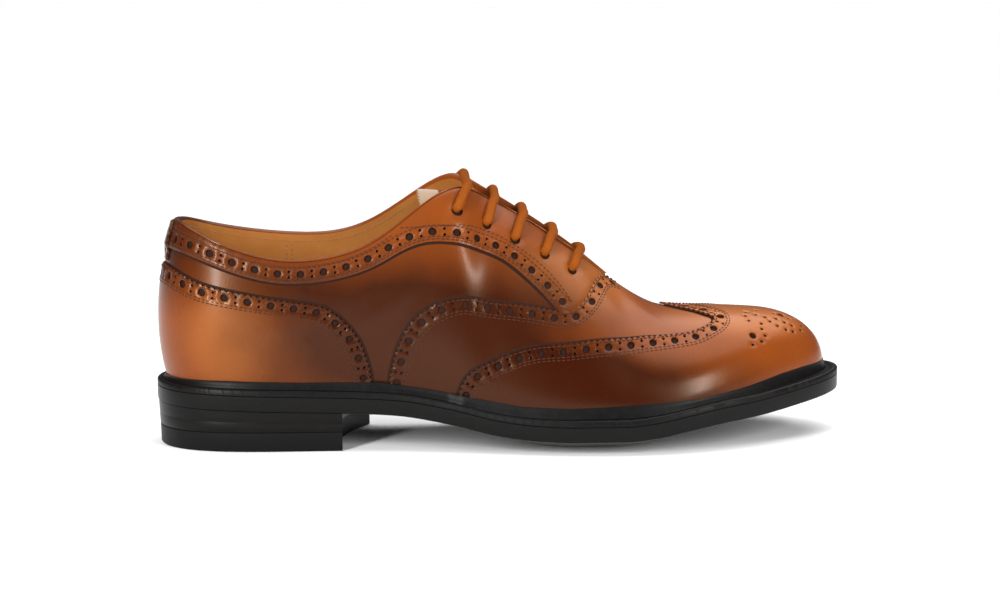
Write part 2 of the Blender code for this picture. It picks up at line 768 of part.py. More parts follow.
def heel_sides(inset):
    """The heel's two sides, from its back to the slanted front."""
    sides = []
    for end in (-HEEL_FRONT_LATERAL, HEEL_FRONT_MEDIAL):
        angles = [end * i / HEEL_ROWS for i in range(HEEL_ROWS + 1)]
        sides.append([inset_edge(a, inset) for a in angles])
    return sides


def heel_grid(inset, height):
    """The heel seen from above: rows across it, the last ones hollowed towards its front."""
    rows = plate_grid(*heel_sides(inset), lambda x, share: 0.0)
    for i, row in enumerate(rows):
        forward = max(0.0, (i / HEEL_ROWS - 0.5) * 2)
        for point, share in zip(row, ACROSS):
            point[0] -= HEEL_HOLLOW * forward**2 * (1 - share * share)
            point[2] = height(point[0])
    return rows


def make_heel():
    """The leather stack under the heel seat and the rubber top piece on the ground."""
    joint = TOP_PIECE_HEIGHT + CLEARANCE
    stack = grid_plate(
        "heel_stack", heel_grid(HEEL_INSETS[1], lambda x: joint),
        heel_grid(HEEL_INSETS[0], lambda x: tread_height(x, 1) - CLEARANCE), BLACK, 0.35,
    )
    top_piece = grid_plate(
        "top_piece", heel_grid(HEEL_INSETS[3], lambda x: 0.0),
        heel_grid(HEEL_INSETS[2], lambda x: TOP_PIECE_HEIGHT), BLACK, 0.6,
    )
    return stack, top_piece


def make_insole():
    """The leather footbed inside the upper."""
    inset = lambda a: ledge_width(a) + WALL + INSOLE_MARGIN
    loops = [
        edge_loop(inset, lambda x, up=up: deck_height(x) + up)
        for up in (CLEARANCE, CLEARANCE + INSOLE_THICKNESS)
    ]
    return loop_solid("insole", loops, TAN_LINING, 0.6)


# The upper

def make_upper():
    """One hollow leather wall, a step thicker over the vamp."""
    new_object("upper", *both_sides(front_outline(VAMP_BACK), stepped_wall), TAN, 0.32)


def make_overlays():
    """The leather pieces laid over the upper."""
    low, high = OVERLAY_GAP, OVERLAY_GAP + LEATHER
    cap = both_sides(
        front_outline(WING_EDGE), lambda line, side: cut_piece(line, LEATHER + low, LEATHER + high)
    )
    new_object("wing_cap", *cap, TAN, 0.3)
    counter = list(COUNTER_EDGE) + [(0.0, FOOT_MARGIN)]
    counter = both_sides(counter, lambda line, side: cut_piece(line, low, high))
    new_object("heel_counter", *counter, TAN, 0.3)
    wide = STRAP_HALF_WIDTH
    strap = [(0.0, STRAP_FOOT), (wide, STRAP_FOOT), (wide, TOP_MARGIN), (0.0, TOP_MARGIN)]
    strap = both_sides(strap, lambda line, side: cut_piece(line, low, high + STRAP_EXTRA))
    new_object("back_strap", *strap, TAN, 0.3)
    for side, name in ((-1, "facing_lateral"), (1, "facing_medial")):
        outline = [(side * turn, rise) for turn, rise in FACING_EDGE]
        new_object(name, *cut_piece(outline, low, high), TAN, 0.32)


def pierce():
    """Lace holes through the facings and the upper."""
    for side, name in ((-1, "facing_lateral"), (1, "facing_medial")):
        for turn, rise in EYELETS:
            pin = eyelet_cutter(side * turn, rise)
            for target in (bpy.data.objects[name], bpy.data.objects["upper"]):
                cut_out(target, pin, "DIFFERENCE")


# The tongue and the lace

def arch_row(turn, depth, lift):
    """A row of points across the throat, a depth under the two sides and over their gap."""
    outer = [on_facets(-turn, rise, -depth) for rise in TONGUE_RISES]
    inner = [on_facets(turn, rise, -depth) for rise in TONGUE_RISES]
    crest = (on_facets(-turn, 1.0, -depth) + on_facets(turn, 1.0, -depth)) / 2
    crest[2] += lift
    return outer + [crest] + inner[::-1]


def make_tongue():
    """The flap behind the lace: sewn in under the vamp, free and rising past the top line."""
    grids = []
    for extra in (0.0, TONGUE_THICKNESS):
        rows = []
        for shift, rise in TONGUE_TOP:
            first = arch_row(TONGUE_ROWS[0][0], TONGUE_ROWS[0][1] + extra, 0.0)
            middle = len(first) // 2
            for i, point in enumerate(first):
                aside = ((i - middle) / middle) ** 2
                point[0] += shift + TONGUE_CORNER * aside**3 * (shift / TONGUE_TOP[0][0])
                point[2] += rise
            rows.append(first)
        rows += [arch_row(turn, depth + extra, 0.0) for turn, depth in TONGUE_ROWS]
        grids.append(rows)
    return grid_plate("tongue", grids[1], grids[0], TAN, 0.4)


def lace_bar(turn, rise):
    """The lace's points from under the outer eyelet, over the throat, to under the inner one."""
    bar = []
    for side in (-1, 1):
        climb = [on_facets(side * turn, rise, height) for height in LACE_CLIMB]
        top = [
            on_facets(side * turn, rise + (1 - rise) * share, LACE_OVER) for share in LACE_SHARES
        ]
        bar.append(climb + top)
    crest = (bar[0][-1] + bar[1][-1]) / 2
    crest[2] += LACE_CREST
    return bar[0] + [crest] + bar[1][::-1]


def lace_points():
    """One way through all the eyelets: each bar is joined to the next one under a facing."""
    points = []
    for i, (turn, rise) in enumerate(EYELETS):
        bar = lace_bar(turn, rise)
        points += bar if i % 2 == 0 else bar[::-1]
        if i + 1 < len(EYELETS):
            side = 1 if i % 2 == 0 else -1
            after = EYELETS[i + 1]
            for share in LACE_RUN_SHARES:
                place = [a + (b - a) * share for a, b in zip((turn, rise), after)]
                points.append(on_facets(side * place[0], place[1], -LACE_UNDER))
    return points


def make_lace():
    """A round cord along the lace's points, made a closed mesh."""
    route = bpy.data.curves.new("lace", "CURVE")
    route.dimensions = "3D"
    route.bevel_depth = LACE_RADIUS
    route.bevel_resolution = 2
    route.use_fill_caps = True
    spline = route.splines.new("POLY")
    points = lace_points()
    spline.points.add(len(points) - 1)
    for spot, point in zip(spline.points, points):
        spot.co = (*point, 1.0)
    tube = bpy.data.objects.new("lace tube", route)
    TOOLS.objects.link(tube)
    bpy.context.view_layer.update()
    view = bpy.context.evaluated_depsgraph_get()
    mesh = bpy.data.meshes.new_from_object(tube.evaluated_get(view))
    points = [v.co.copy() for v in mesh.vertices]
    faces = [tuple(p.vertices) for p in mesh.polygons]
    bpy.data.objects.remove(tube)
    bpy.data.meshes.remove(mesh)
    return new_object("lace", points, faces, LACE_BROWN, 0.9)


def clear_scene():
    for thing in list(bpy.data.objects):
        bpy.data.objects.remove(thing)


def new_collection(name):
    group = bpy.data.collections.new(name)
    bpy.context.scene.collection.children.link(group)
    return group


def centre_on_floor():
    """Puts the middle of the shoe's footprint on the origin."""
    points = [v.co for thing in SHOE.objects for v in thing.data.vertices]
    lows = [min(p[k] for p in points) for k in range(3)]
    highs = [max(p[k] for p in points) for k in range(3)]
    shift = Vector((-(lows[0] + highs[0]) / 2, -(lows[1] + highs[1]) / 2, -lows[2]))
    for thing in SHOE.objects:
        thing.data.transform(Matrix.Translation(shift))


clear_scene()
SHOE = new_collection("brogue shoe")
TOOLS = new_collection("cutting tools")
NODES = wall_nodes()
make_outsole()
make_welt()
make_heel()
make_insole()
make_upper()
make_overlays()
make_tongue()
make_lace()
pierce()
centre_on_floor()
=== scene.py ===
import math
import bpy
import bmesh
import numpy as np
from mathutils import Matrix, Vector
from mathutils.geometry import delaunay_2d_cdt


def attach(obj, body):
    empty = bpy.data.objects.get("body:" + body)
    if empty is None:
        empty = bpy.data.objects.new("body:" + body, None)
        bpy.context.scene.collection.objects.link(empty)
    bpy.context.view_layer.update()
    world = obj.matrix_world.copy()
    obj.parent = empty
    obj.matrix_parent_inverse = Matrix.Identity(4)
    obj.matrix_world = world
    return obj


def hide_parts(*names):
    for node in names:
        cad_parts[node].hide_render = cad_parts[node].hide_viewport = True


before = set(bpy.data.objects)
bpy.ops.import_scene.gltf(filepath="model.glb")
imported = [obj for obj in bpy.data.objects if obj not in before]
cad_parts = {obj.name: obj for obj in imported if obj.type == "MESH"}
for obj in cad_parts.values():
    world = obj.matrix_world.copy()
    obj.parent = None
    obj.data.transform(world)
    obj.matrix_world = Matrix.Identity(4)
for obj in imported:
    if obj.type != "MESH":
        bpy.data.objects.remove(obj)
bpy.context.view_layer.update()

bpy.ops.object.select_all(action="DESELECT")

# Camera: the photograph's angle, one shoe in its frame
camera = {
    "place": (-0.0767, -0.9610, 0.1906),
    "turn": -4.5,
    "down": 7.63,
    "lens": 78.84,
    "sensor": 36.0,
}
bpy.ops.object.camera_add(
    location=camera["place"],
    rotation=(math.radians(90 - camera["down"]), 0, math.radians(camera["turn"])),
)
photoCamera = bpy.context.object
photoCamera.name = "photoCamera"
photoCamera.data.lens = camera["lens"]
photoCamera.data.sensor_width = camera["sensor"]
photoCamera.data.clip_start = 0.01
bpy.context.scene.camera = photoCamera

# Sizes of the shoe, in metres, the same as in the CAD
sole = {
    "length": 0.305, "width": 0.105, "heel": 0.0190, "topPiece": 0.0085, "toeSpring": 0.0198,
    "crown": 0.0055, "thickness": 0.0066, "weltGap": 0.0005, "welt": 0.0026,
    "insole": 0.0030, "clearance": 0.0003, "flatShare": 0.36,
}
upper = {"instep": 0.0940, "wall": 0.0020, "leather": 0.0011, "gap": 0.0004}
throat = {"end": 0.645, "taper": 0.060}
flatMap = {"length": 0.350, "height": 0.085}

# The sole seen from above: station, outer half width, inner half width, ledge
outlineRows = (
    (0.000, 0.000, 0.000, 0.055), (0.015, 0.160, 0.160, 0.055), (0.060, 0.273, 0.272, 0.055),
    (0.140, 0.325, 0.316, 0.053), (0.250, 0.330, 0.293, 0.052), (0.360, 0.355, 0.268, 0.052),
    (0.460, 0.418, 0.292, 0.060), (0.560, 0.486, 0.368, 0.072), (0.645, 0.514, 0.444, 0.078),
    (0.720, 0.503, 0.481, 0.080), (0.790, 0.455, 0.470, 0.082), (0.860, 0.368, 0.426, 0.085),
    (0.920, 0.262, 0.350, 0.088), (0.970, 0.148, 0.250, 0.090), (1.000, -0.045, 0.045, 0.090),
)

# The sole's edge seen from the side: station, shares of the heel, the toe's spring and the crown
profileRows = (
    (0.00, 1.00, 0.00, 0.00), (0.16, 0.92, 0.00, 0.00), (0.27, 0.87, 0.00, 0.00),
    (0.34, 0.82, 0.00, 0.00), (0.42, 0.59, 0.00, 0.12), (0.48, 0.29, 0.00, 0.42),
    (0.54, 0.06, 0.00, 0.86), (0.59, 0.00, 0.00, 1.00), (0.66, 0.00, 0.00, 1.06),
    (0.70, 0.00, 0.07, 1.00), (0.75, 0.00, 0.26, 0.80), (0.80, 0.00, 0.44, 0.60),
    (0.86, 0.00, 0.59, 0.40), (0.93, 0.00, 0.79, 0.20), (1.00, 0.00, 1.00, 0.00),
)

# The top line and the ridge: station, x, outer y, inner y, outer rise, inner rise, slope
topRows = (
    (0.000, 0.0325, 0.000, 0.000, 0.736, 0.736, 0.00),
    (0.015, 0.0430, -0.118, 0.118, 0.731, 0.731, 0.00),
    (0.060, 0.0770, -0.214, 0.214, 0.679, 0.699, 0.00),
    (0.130, 0.1360, -0.262, 0.256, 0.611, 0.668, 0.00),
    (0.200, 0.2000, -0.272, 0.262, 0.585, 0.655, 0.00),
    (0.265, 0.2650, -0.268, 0.258, 0.618, 0.672, 0.00),
    (0.320, 0.3200, -0.252, 0.246, 0.700, 0.745, 0.00),
    (0.370, 0.3700, -0.222, 0.224, 0.833, 0.865, -0.10),
    (0.410, 0.4090, -0.182, 0.190, 0.935, 0.965, -0.20),
    (0.438, 0.4370, -0.128, 0.142, 0.968, 1.003, -0.35),
    (0.460, 0.4585, -0.072, 0.092, 0.955, 0.988, -0.45),
    (0.500, 0.4990, -0.046, 0.064, 0.908, 0.932, -0.55),
    (0.560, 0.5600, -0.018, 0.046, 0.801, 0.819, -0.62),
    (0.620, 0.6200, 0.004, 0.032, 0.667, 0.675, -0.70),
    (0.655, 0.6520, 0.020, 0.028, 0.584, 0.585, -0.74),
    (0.690, 0.6830, 0.030, 0.030, 0.506, 0.506, -0.60),
    (0.740, 0.7260, 0.038, 0.038, 0.415, 0.415, -0.30),
    (0.800, 0.7700, 0.044, 0.044, 0.366, 0.366, -0.10),
    (0.860, 0.8080, 0.047, 0.047, 0.343, 0.343, -0.03),
    (0.930, 0.8400, 0.048, 0.048, 0.326, 0.326, 0.00),
    (1.000, 0.8540, 0.048, 0.048, 0.318, 0.318, 0.00),
)

# The swell of each wall: station, bulge, lift, reach, drop
outerWall = (
    (0.00, 0.060, 0.33, 0.072, 0.29), (0.06, 0.055, 0.33, 0.066, 0.32),
    (0.14, 0.045, 0.34, 0.056, 0.34), (0.25, 0.030, 0.34, 0.044, 0.34),
    (0.36, 0.020, 0.34, 0.080, 0.28), (0.42, 0.020, 0.34, 0.120, 0.19),
    (0.46, 0.020, 0.34, 0.160, 0.125), (0.50, 0.022, 0.34, 0.165, 0.115),
    (0.56, 0.025, 0.33, 0.170, 0.100), (0.62, 0.026, 0.35, 0.180, 0.055),
    (0.68, 0.024, 0.38, 0.190, 0.010), (0.74, 0.022, 0.44, 0.205, 0.000),
    (0.80, 0.020, 0.50, 0.220, 0.000), (0.86, 0.018, 0.54, 0.225, 0.000),
    (0.93, 0.016, 0.57, 0.225, -0.010), (1.00, 0.014, 0.58, 0.225, -0.020),
)
innerWall = (
    (0.00, 0.060, 0.33, 0.072, 0.29), (0.06, 0.056, 0.33, 0.066, 0.32),
    (0.14, 0.050, 0.34, 0.056, 0.34), (0.25, 0.058, 0.34, 0.044, 0.34),
    (0.36, 0.080, 0.34, 0.070, 0.28), (0.42, 0.084, 0.34, 0.115, 0.17),
    (0.46, 0.080, 0.34, 0.150, 0.100), (0.50, 0.070, 0.34, 0.160, 0.080),
    (0.56, 0.050, 0.34, 0.165, 0.060), (0.62, 0.036, 0.36, 0.175, 0.030),
    (0.68, 0.028, 0.40, 0.190, 0.005), (0.74, 0.022, 0.45, 0.205, 0.000),
    (0.80, 0.020, 0.50, 0.220, 0.000), (0.86, 0.018, 0.54, 0.225, 0.000),
    (0.93, 0.016, 0.57, 0.225, -0.010), (1.00, 0.014, 0.58, 0.225, -0.020),
)


def column(rows, place):
    return [row[place] for row in rows]


def smoothCurve(keys, values):
    keys, values = np.array(keys, float), np.array(values, float)
    step = np.diff(keys)
    slope = np.diff(values) / step
    matrix = np.eye(len(keys))
    right = np.zeros(len(keys))
    for i in range(1, len(keys) - 1):
        matrix[i, i - 1: i + 2] = step[i - 1], 2 * (step[i - 1] + step[i]), step[i]
        right[i] = 6 * (slope[i] - slope[i - 1])
    bend = np.linalg.solve(matrix, right)

    def curve(key):
        key = np.asarray(key, float)
        i = np.clip(np.searchsorted(keys, key) - 1, 0, len(keys) - 2)
        a = (keys[i + 1] - key) / step[i]
        b = 1 - a
        curved = (a**3 - a) * bend[i] + (b**3 - b) * bend[i + 1]
        return a * values[i] + b * values[i + 1] + curved * step[i] ** 2 / 6

    return curve


def loopCurve(stations, outer, inner):
    angles = [math.acos(1 - 2 * s) for s in stations]
    keys = [-a for a in reversed(angles[1:])] + angles
    values = list(reversed(outer[1:])) + list(inner)
    turn = 2 * math.pi
    before = [k - turn for k in keys[-5:-1]]
    after = [k + turn for k in keys[1:5]]
    return smoothCurve(before + keys + after, values[-5:-1] + values + values[1:5])


def steadyCurve(keys, values):
    keys, values = np.array(keys, float), np.array(values, float)
    step = np.diff(keys)
    slope = np.diff(values) / step
    ends = np.zeros(len(keys))
    for i in range(1, len(keys) - 1):
        if slope[i - 1] * slope[i] > 0:
            ends[i] = 2 * slope[i - 1] * slope[i] / (slope[i - 1] + slope[i])
    ends[0], ends[-1] = slope[0], slope[-1]

    def curve(key):
        key = np.asarray(key, float)
        i = np.clip(np.searchsorted(keys, key) - 1, 0, len(keys) - 2)
        t = (key - keys[i]) / step[i]
        held = values[i] * (1 + 2 * t) * (1 - t) ** 2 + values[i + 1] * t * t * (3 - 2 * t)
        return held + step[i] * (ends[i] * t * (1 - t) ** 2 - ends[i + 1] * t * t * (1 - t))

    return curve


edgeY = loopCurve(column(outlineRows, 0), [-v for v in column(outlineRows, 1)], column(outlineRows, 2))
ledge = loopCurve(column(outlineRows, 0), column(outlineRows, 3), column(outlineRows, 3))
heelPart, toePart, crownPart = [
    steadyCurve(column(profileRows, 0), column(profileRows, k)) for k in (1, 2, 3)
]
topX = loopCurve(column(topRows, 0), column(topRows, 1), column(topRows, 1))
topY = loopCurve(column(topRows, 0), column(topRows, 2), column(topRows, 3))
topRise = loopCurve(column(topRows, 0), column(topRows, 4), column(topRows, 5))
ridgeSlope = loopCurve(column(topRows, 0), column(topRows, 6), column(topRows, 6))
swellBulge, swellLift, swellReach, swellDrop = [
    loopCurve(column(outerWall, 0), column(outerWall, k), column(innerWall, k)) for k in (1, 2, 3, 4)
]


def stationOf(angle):
    return (1 - np.cos(angle)) / 2


def soleEdge(angle):
    return np.stack([sole["length"] * stationOf(angle), sole["width"] * edgeY(angle)], -1)


def edgeNormal(angle):
    along = soleEdge(angle + 1e-3) - soleEdge(angle - 1e-3)
    out = np.stack([-along[..., 1], along[..., 0]], -1)
    return out / np.linalg.norm(out, axis=-1, keepdims=True)


def insetEdge(angle, inset):
    angle = np.asarray(angle, float)
    return soleEdge(angle) - edgeNormal(angle) * np.broadcast_to(inset, angle.shape)[..., None]


def ledgeWidth(angle):
    return sole["width"] * ledge(angle)


def treadHeight(x, crown=1.0):
    station = np.clip(x / sole["length"], 0, 1)
    height = sole["heel"] * heelPart(station) + sole["toeSpring"] * toePart(station)
    return height + crown * sole["crown"] * crownPart(station)


def deckHeight(x):
    return treadHeight(x) + sole["thickness"] + sole["weltGap"] + sole["welt"]


def openShare(angle):
    left = np.clip((throat["end"] - stationOf(angle)) / throat["taper"], 0, 1)
    return left * left * (3 - 2 * left)


def paired(curve, angle):
    here, other = curve(angle), curve(-angle)
    return (here + other) / 2 + (here - other) / 2 * openShare(angle)


# The middle of the footprint is the frame's origin
footprint = soleEdge(-math.pi + 2 * math.pi * np.arange(64) / 64)
shoeShift = np.array([-sole["length"] / 2, -(footprint[:, 1].min() + footprint[:, 1].max()) / 2, 0.0])
wallGrid = {"turns": 960, "rises": 96}

# Soft troughs and ridges of the leather: start and end as turn and rise, half width and depth in metres
creases = (
    ((0.590, 0.90), (0.630, 0.55), 0.0045, -0.00035), ((0.612, 0.93), (0.655, 0.62), 0.0040, 0.00022),
    ((0.440, 0.56), (0.375, 0.30), 0.0070, -0.00040), ((0.410, 0.60), (0.345, 0.34), 0.0060, 0.00025),
    ((0.300, 0.78), (0.250, 0.45), 0.0080, -0.00035), ((0.500, 0.40), (0.560, 0.22), 0.0070, -0.00030),
)


def creaseDepth(turn, rise):
    depth = np.zeros(turn.shape)
    scale = np.array([flatMap["length"], flatMap["height"]])
    for start, end, width, size in creases:
        first, last = np.array(start) * scale, np.array(end) * scale
        along = last - first
        x, y = np.abs(turn) * scale[0] - first[0], rise * scale[1] - first[1]
        share = (x * along[0] + y * along[1]) / (along @ along)
        fade = np.clip(1 - (2 * np.abs(share - 0.5)) ** 2, 0, 1)
        away = np.abs(x * along[1] - y * along[0]) / np.linalg.norm(along)
        depth += size * fade * np.exp(-(away / width) ** 2)
    return depth * np.clip((1 - rise) / 0.04, 0, 1)



def buildWall():
    angle = np.linspace(-math.pi, math.pi, wallGrid["turns"] + 1)
    footXY = insetEdge(angle, ledgeWidth(angle))
    foot = np.column_stack([footXY, deckHeight(footXY[:, 0]) + sole["clearance"]])
    x = sole["length"] * topX(angle)
    rise = deckHeight(x) + upper["instep"] * paired(topRise, angle)
    top = np.column_stack([x, sole["width"] * paired(topY, angle), rise])
    height = top[:, 2] - foot[:, 2]
    out = np.column_stack([edgeNormal(angle), np.zeros(len(angle))])
    across = foot - top
    across[:, 2] = 0
    length = np.linalg.norm(across, axis=1)
    nearBack = np.minimum(1.0, length / (0.2 * sole["width"]))[:, None]
    across = across / np.maximum(length, 1e-9)[:, None]
    fan = nearBack * across + (1 - nearBack) * out
    fan /= np.linalg.norm(fan, axis=1)[:, None]
    low = foot + out * (sole["width"] * swellBulge(angle))[:, None]
    low[:, 2] += height * swellLift(angle)
    reach = sole["width"] * swellReach(angle)
    high = top + fan * reach[:, None]
    slope = ridgeSlope(np.abs(angle))
    closed = 1 - openShare(angle)
    high[:, 2] -= height * swellDrop(angle) - closed * slope * fan[:, 0] * reach
    s = np.linspace(0, 1, wallGrid["rises"] + 1)[None, :, None]
    grid = (1 - s) ** 3 * foot[:, None] + 3 * (1 - s) ** 2 * s * low[:, None]
    grid = grid + 3 * (1 - s) * s**2 * high[:, None] + s**3 * top[:, None]
    wide = np.concatenate([grid[-2:-1], grid, grid[1:2]])
    along = (wide[2:] - wide[:-2]) * wallGrid["turns"] / 4
    up = np.gradient(grid, axis=1) * wallGrid["rises"]
    out = np.cross(up, along)
    out /= np.linalg.norm(out, axis=2)[:, :, None]
    shut = stationOf(angle) >= throat["end"]
    ridge = np.column_stack([-slope, np.zeros(len(slope)), np.ones(len(slope))])
    ridge /= np.linalg.norm(ridge, axis=1)[:, None]
    out[shut, -1] = ridge[shut]
    turn, rise = np.meshgrid(angle / math.pi, s[0, :, 0], indexing="ij")
    depth = creaseDepth(turn, rise)
    return grid + shoeShift + out * depth[:, :, None], out, along, up


wallPlace, wallOut, wallAlong, wallUp = buildWall()


def readGrid(grid, turn, rise):
    across = np.clip((np.asarray(turn, float) + 1) / 2, 0, 1) * wallGrid["turns"]
    up = np.clip(np.asarray(rise, float), 0, 1) * wallGrid["rises"]
    i = np.minimum(across.astype(int), wallGrid["turns"] - 1)
    k = np.minimum(up.astype(int), wallGrid["rises"] - 1)
    a, b = (across - i)[..., None], (up - k)[..., None]
    low = grid[i, k] * (1 - a) + grid[i + 1, k] * a
    high = grid[i, k + 1] * (1 - a) + grid[i + 1, k + 1] * a
    return low * (1 - b) + high * b


def wallNormal(turn, rise):
    out = readGrid(wallOut, turn, rise)
    return out / np.linalg.norm(out, axis=-1, keepdims=True)


def onWall(turn, rise, offset):
    offset = np.broadcast_to(offset, np.shape(turn))[..., None]
    return readGrid(wallPlace, turn, rise) + wallNormal(turn, rise) * offset


def slide(line, vector):
    # Moves places on the wall by small vectors in metres
    along = readGrid(wallAlong, line[:, 0], line[:, 1])
    up = readGrid(wallUp, line[:, 0], line[:, 1])
    aa, uu, au = (along**2).sum(1), (up**2).sum(1), (along * up).sum(1)
    va, vu = (vector * along).sum(1), (vector * up).sum(1)
    spread = np.maximum(aa * uu - au**2, 1e-12)
    moved = np.column_stack([(va * uu - vu * au) / spread, (vu * aa - va * au) / spread])
    return line + moved


def evenLine(points, spacing):
    # A smooth line through places on the wall, read at even steps along the leather
    points = np.array(points, float)
    place = onWall(points[:, 0], points[:, 1], 0.0)
    key = np.concatenate([[0], np.cumsum(np.linalg.norm(np.diff(place, axis=0), axis=1))])
    curves = [smoothCurve(key, points[:, k]) for k in (0, 1)]
    fine = np.linspace(0, key[-1], 800)
    line = np.column_stack([c(fine) for c in curves])
    return evenSteps(line, spacing)


def evenSteps(line, spacing):
    place = onWall(line[:, 0], line[:, 1], 0.0)
    key = np.concatenate([[0], np.cumsum(np.linalg.norm(np.diff(place, axis=0), axis=1))])
    count = max(2, int(round(key[-1] / spacing)) + 1)
    at = np.linspace(0, key[-1], count)
    return np.column_stack([np.interp(at, key, line[:, k]) for k in (0, 1)])


def straight(start, end, count, spacing):
    return evenSteps(np.linspace(start, end, count), spacing)


def sideways(line):
    # The direction across a line, to its left as seen from outside
    place = onWall(line[:, 0], line[:, 1], 0.0)
    along = np.gradient(place, axis=0)
    along /= np.linalg.norm(along, axis=1)[:, None]
    return np.cross(wallNormal(line[:, 0], line[:, 1]), along)


def beside(line, distance, spacing=0.0010):
    moved = slide(line, sideways(line) * distance)
    keep = (moved[:, 1] > 0.0) & (moved[:, 1] <= 1.0) & (np.abs(moved[:, 0]) <= 1.0)
    return evenSteps(moved[keep], spacing)


def ringAt(place, radius, count):
    around = 2 * math.pi * np.arange(count) / count
    centre = np.repeat(np.array([place]), count, axis=0)
    up = readGrid(wallUp, centre[:, 0], centre[:, 1])
    up /= np.linalg.norm(up, axis=1)[:, None]
    across = np.cross(wallNormal(centre[:, 0], centre[:, 1]), up)
    vector = up * np.cos(around)[:, None] + across * np.sin(around)[:, None]
    return slide(centre, vector * radius)


def insideLoop(points, loop):
    x, y = points[:, 0], points[:, 1]
    crossings = np.zeros(len(points), int)
    for (ax, ay), (bx, by) in zip(loop, np.roll(loop, -1, axis=0)):
        if ay == by:
            continue
        hit = ((ay > y) != (by > y)) & (x < ax + (bx - ax) * (y - ay) / (by - ay))
        crossings += hit
    return crossings % 2 == 1


def toMap(line):
    return np.column_stack([line[:, 0] * flatMap["length"], line[:, 1] * flatMap["height"]])


def cutLeather(outline, holes, low, high, spacing=0.0015, drape=None):
    # A leather piece on one side: its two faces, its rim and the walls of its holes
    loop = toMap(np.array(outline))
    rings = [toMap(ring) for ring in holes]
    flat = [tuple(p) for p in loop]
    edges = [(i, (i + 1) % len(loop)) for i in range(len(loop))]
    for ring in rings:
        start = len(flat)
        flat += [tuple(p) for p in ring]
        edges += [(start + i, start + (i + 1) % len(ring)) for i in range(len(ring))]
    border = np.array(flat)
    lo, hi = loop.min(0), loop.max(0)
    across, up = np.meshgrid(np.arange(lo[0], hi[0], spacing), np.arange(lo[1], hi[1], spacing * 0.87))
    across[1::2] += spacing / 2
    inner = np.column_stack([across.ravel(), up.ravel()])
    inner = inner[insideLoop(inner, loop)]
    clear = np.ones(len(inner), bool)
    for part in range(0, len(inner), 2000):
        chunk = inner[part: part + 2000]
        gap = ((chunk[:, None] - border[None]) ** 2).sum(2).min(1)
        clear[part: part + 2000] = gap > (0.45 * spacing) ** 2
    inner = inner[clear]
    for ring in rings:
        middle = ring.mean(0)
        reach = np.abs(ring - middle).max() * 1.5
        near = (np.abs(inner - middle) < reach).all(1)
        drop = np.zeros(len(inner), bool)
        drop[near] = insideLoop(inner[near], ring)
        inner = inner[~drop]
    flat += [tuple(p) for p in inner]
    points, _, triangles, *_ = delaunay_2d_cdt([Vector(p) for p in flat], edges, [], 0, 1e-8)
    points = np.array([tuple(p) for p in points])
    triangles = np.array([tuple(t) for t in triangles])
    corner = points[triangles]
    first, second = corner[:, 1] - corner[:, 0], corner[:, 2] - corner[:, 0]
    area = np.abs(first[:, 0] * second[:, 1] - first[:, 1] * second[:, 0]) / 2
    middle = corner.mean(1)
    held = insideLoop(middle, loop) & (area > 1e-12)
    for ring in rings:
        centre = ring.mean(0)
        near = (np.abs(middle - centre) < np.abs(ring - centre).max() * 1.2).all(1)
        drop = np.zeros(len(middle), bool)
        drop[near] = insideLoop(middle[near], ring)
        held &= ~drop
    triangles = triangles[held]
    place = np.column_stack([points[:, 0] / flatMap["length"], points[:, 1] / flatMap["height"]])
    used = {(a, b) for t in triangles for a, b in ((t[0], t[1]), (t[1], t[2]), (t[2], t[0]))}
    rim = [(a, b) for a, b in used if (b, a) not in used]
    shut = stationOf(place[:, 0] * math.pi) >= throat["end"]
    onRidge = shut & (place[:, 1] > 0.9999)
    atTip = np.abs(place[:, 0]) > 0.9999
    atHeel = np.abs(place[:, 0]) < 0.0001
    rim = [
        (a, b) for a, b in rim
        if not ((onRidge[a] and onRidge[b]) or (atTip[a] and atTip[b]) or (atHeel[a] and atHeel[b]))
    ]
    worn = np.zeros(len(place))
    for a, b in rim:
        worn[a] = worn[b] = 1
    total = len(place)
    base = drape(place) if drape else 0.0
    rounded = high - (high - low) * 0.3 * worn
    vertices = np.concatenate([
        onWall(place[:, 0], place[:, 1], base + low),
        onWall(place[:, 0], place[:, 1], base + rounded),
    ])
    faces = [(a, c, b) for a, b, c in triangles]
    faces += [(a + total, b + total, c + total) for a, b, c in triangles]
    faces += [(a, b, b + total, a + total) for a, b in rim]
    return vertices, faces


def newPiece(name, vertices, faces, material, replaced=(), merge=0.0, sharp=40, edge=None):
    mesh = bpy.data.meshes.new(name)
    corners = [tuple(float(c) for c in v) for v in vertices]
    mesh.from_pydata(corners, [], [tuple(int(i) for i in f) for f in faces])
    if edge:
        # The cut rims are the four-sided faces of a leather piece
        mesh.polygons.foreach_set("material_index", [int(len(f) == 4) for f in faces])
    work = bmesh.new()
    work.from_mesh(mesh)
    if merge:
        bmesh.ops.remove_doubles(work, verts=work.verts, dist=merge)
    bmesh.ops.delete(work, geom=[v for v in work.verts if not v.link_faces], context="VERTS")
    bmesh.ops.recalc_face_normals(work, faces=work.faces)
    work.to_mesh(mesh)
    work.free()
    mesh.shade_smooth()
    mesh.set_sharp_from_angle(angle=math.radians(sharp))
    piece = bpy.data.objects.new(name, mesh)
    bpy.context.scene.collection.objects.link(piece)
    piece.data.materials.append(material)
    if edge:
        piece.data.materials.append(edge)
    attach(piece, "root")
    if replaced:
        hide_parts(*replaced)
    return piece


def gridFaces(rows, columns, wrapColumns=False, start=0):
    faces = []
    last = columns if wrapColumns else columns - 1
    for i in range(rows - 1):
        for j in range(last):
            k = (j + 1) % columns
            a, b = start + i * columns, start + (i + 1) * columns
            faces.append((a + j, a + k, b + k, b + j))
    return faces


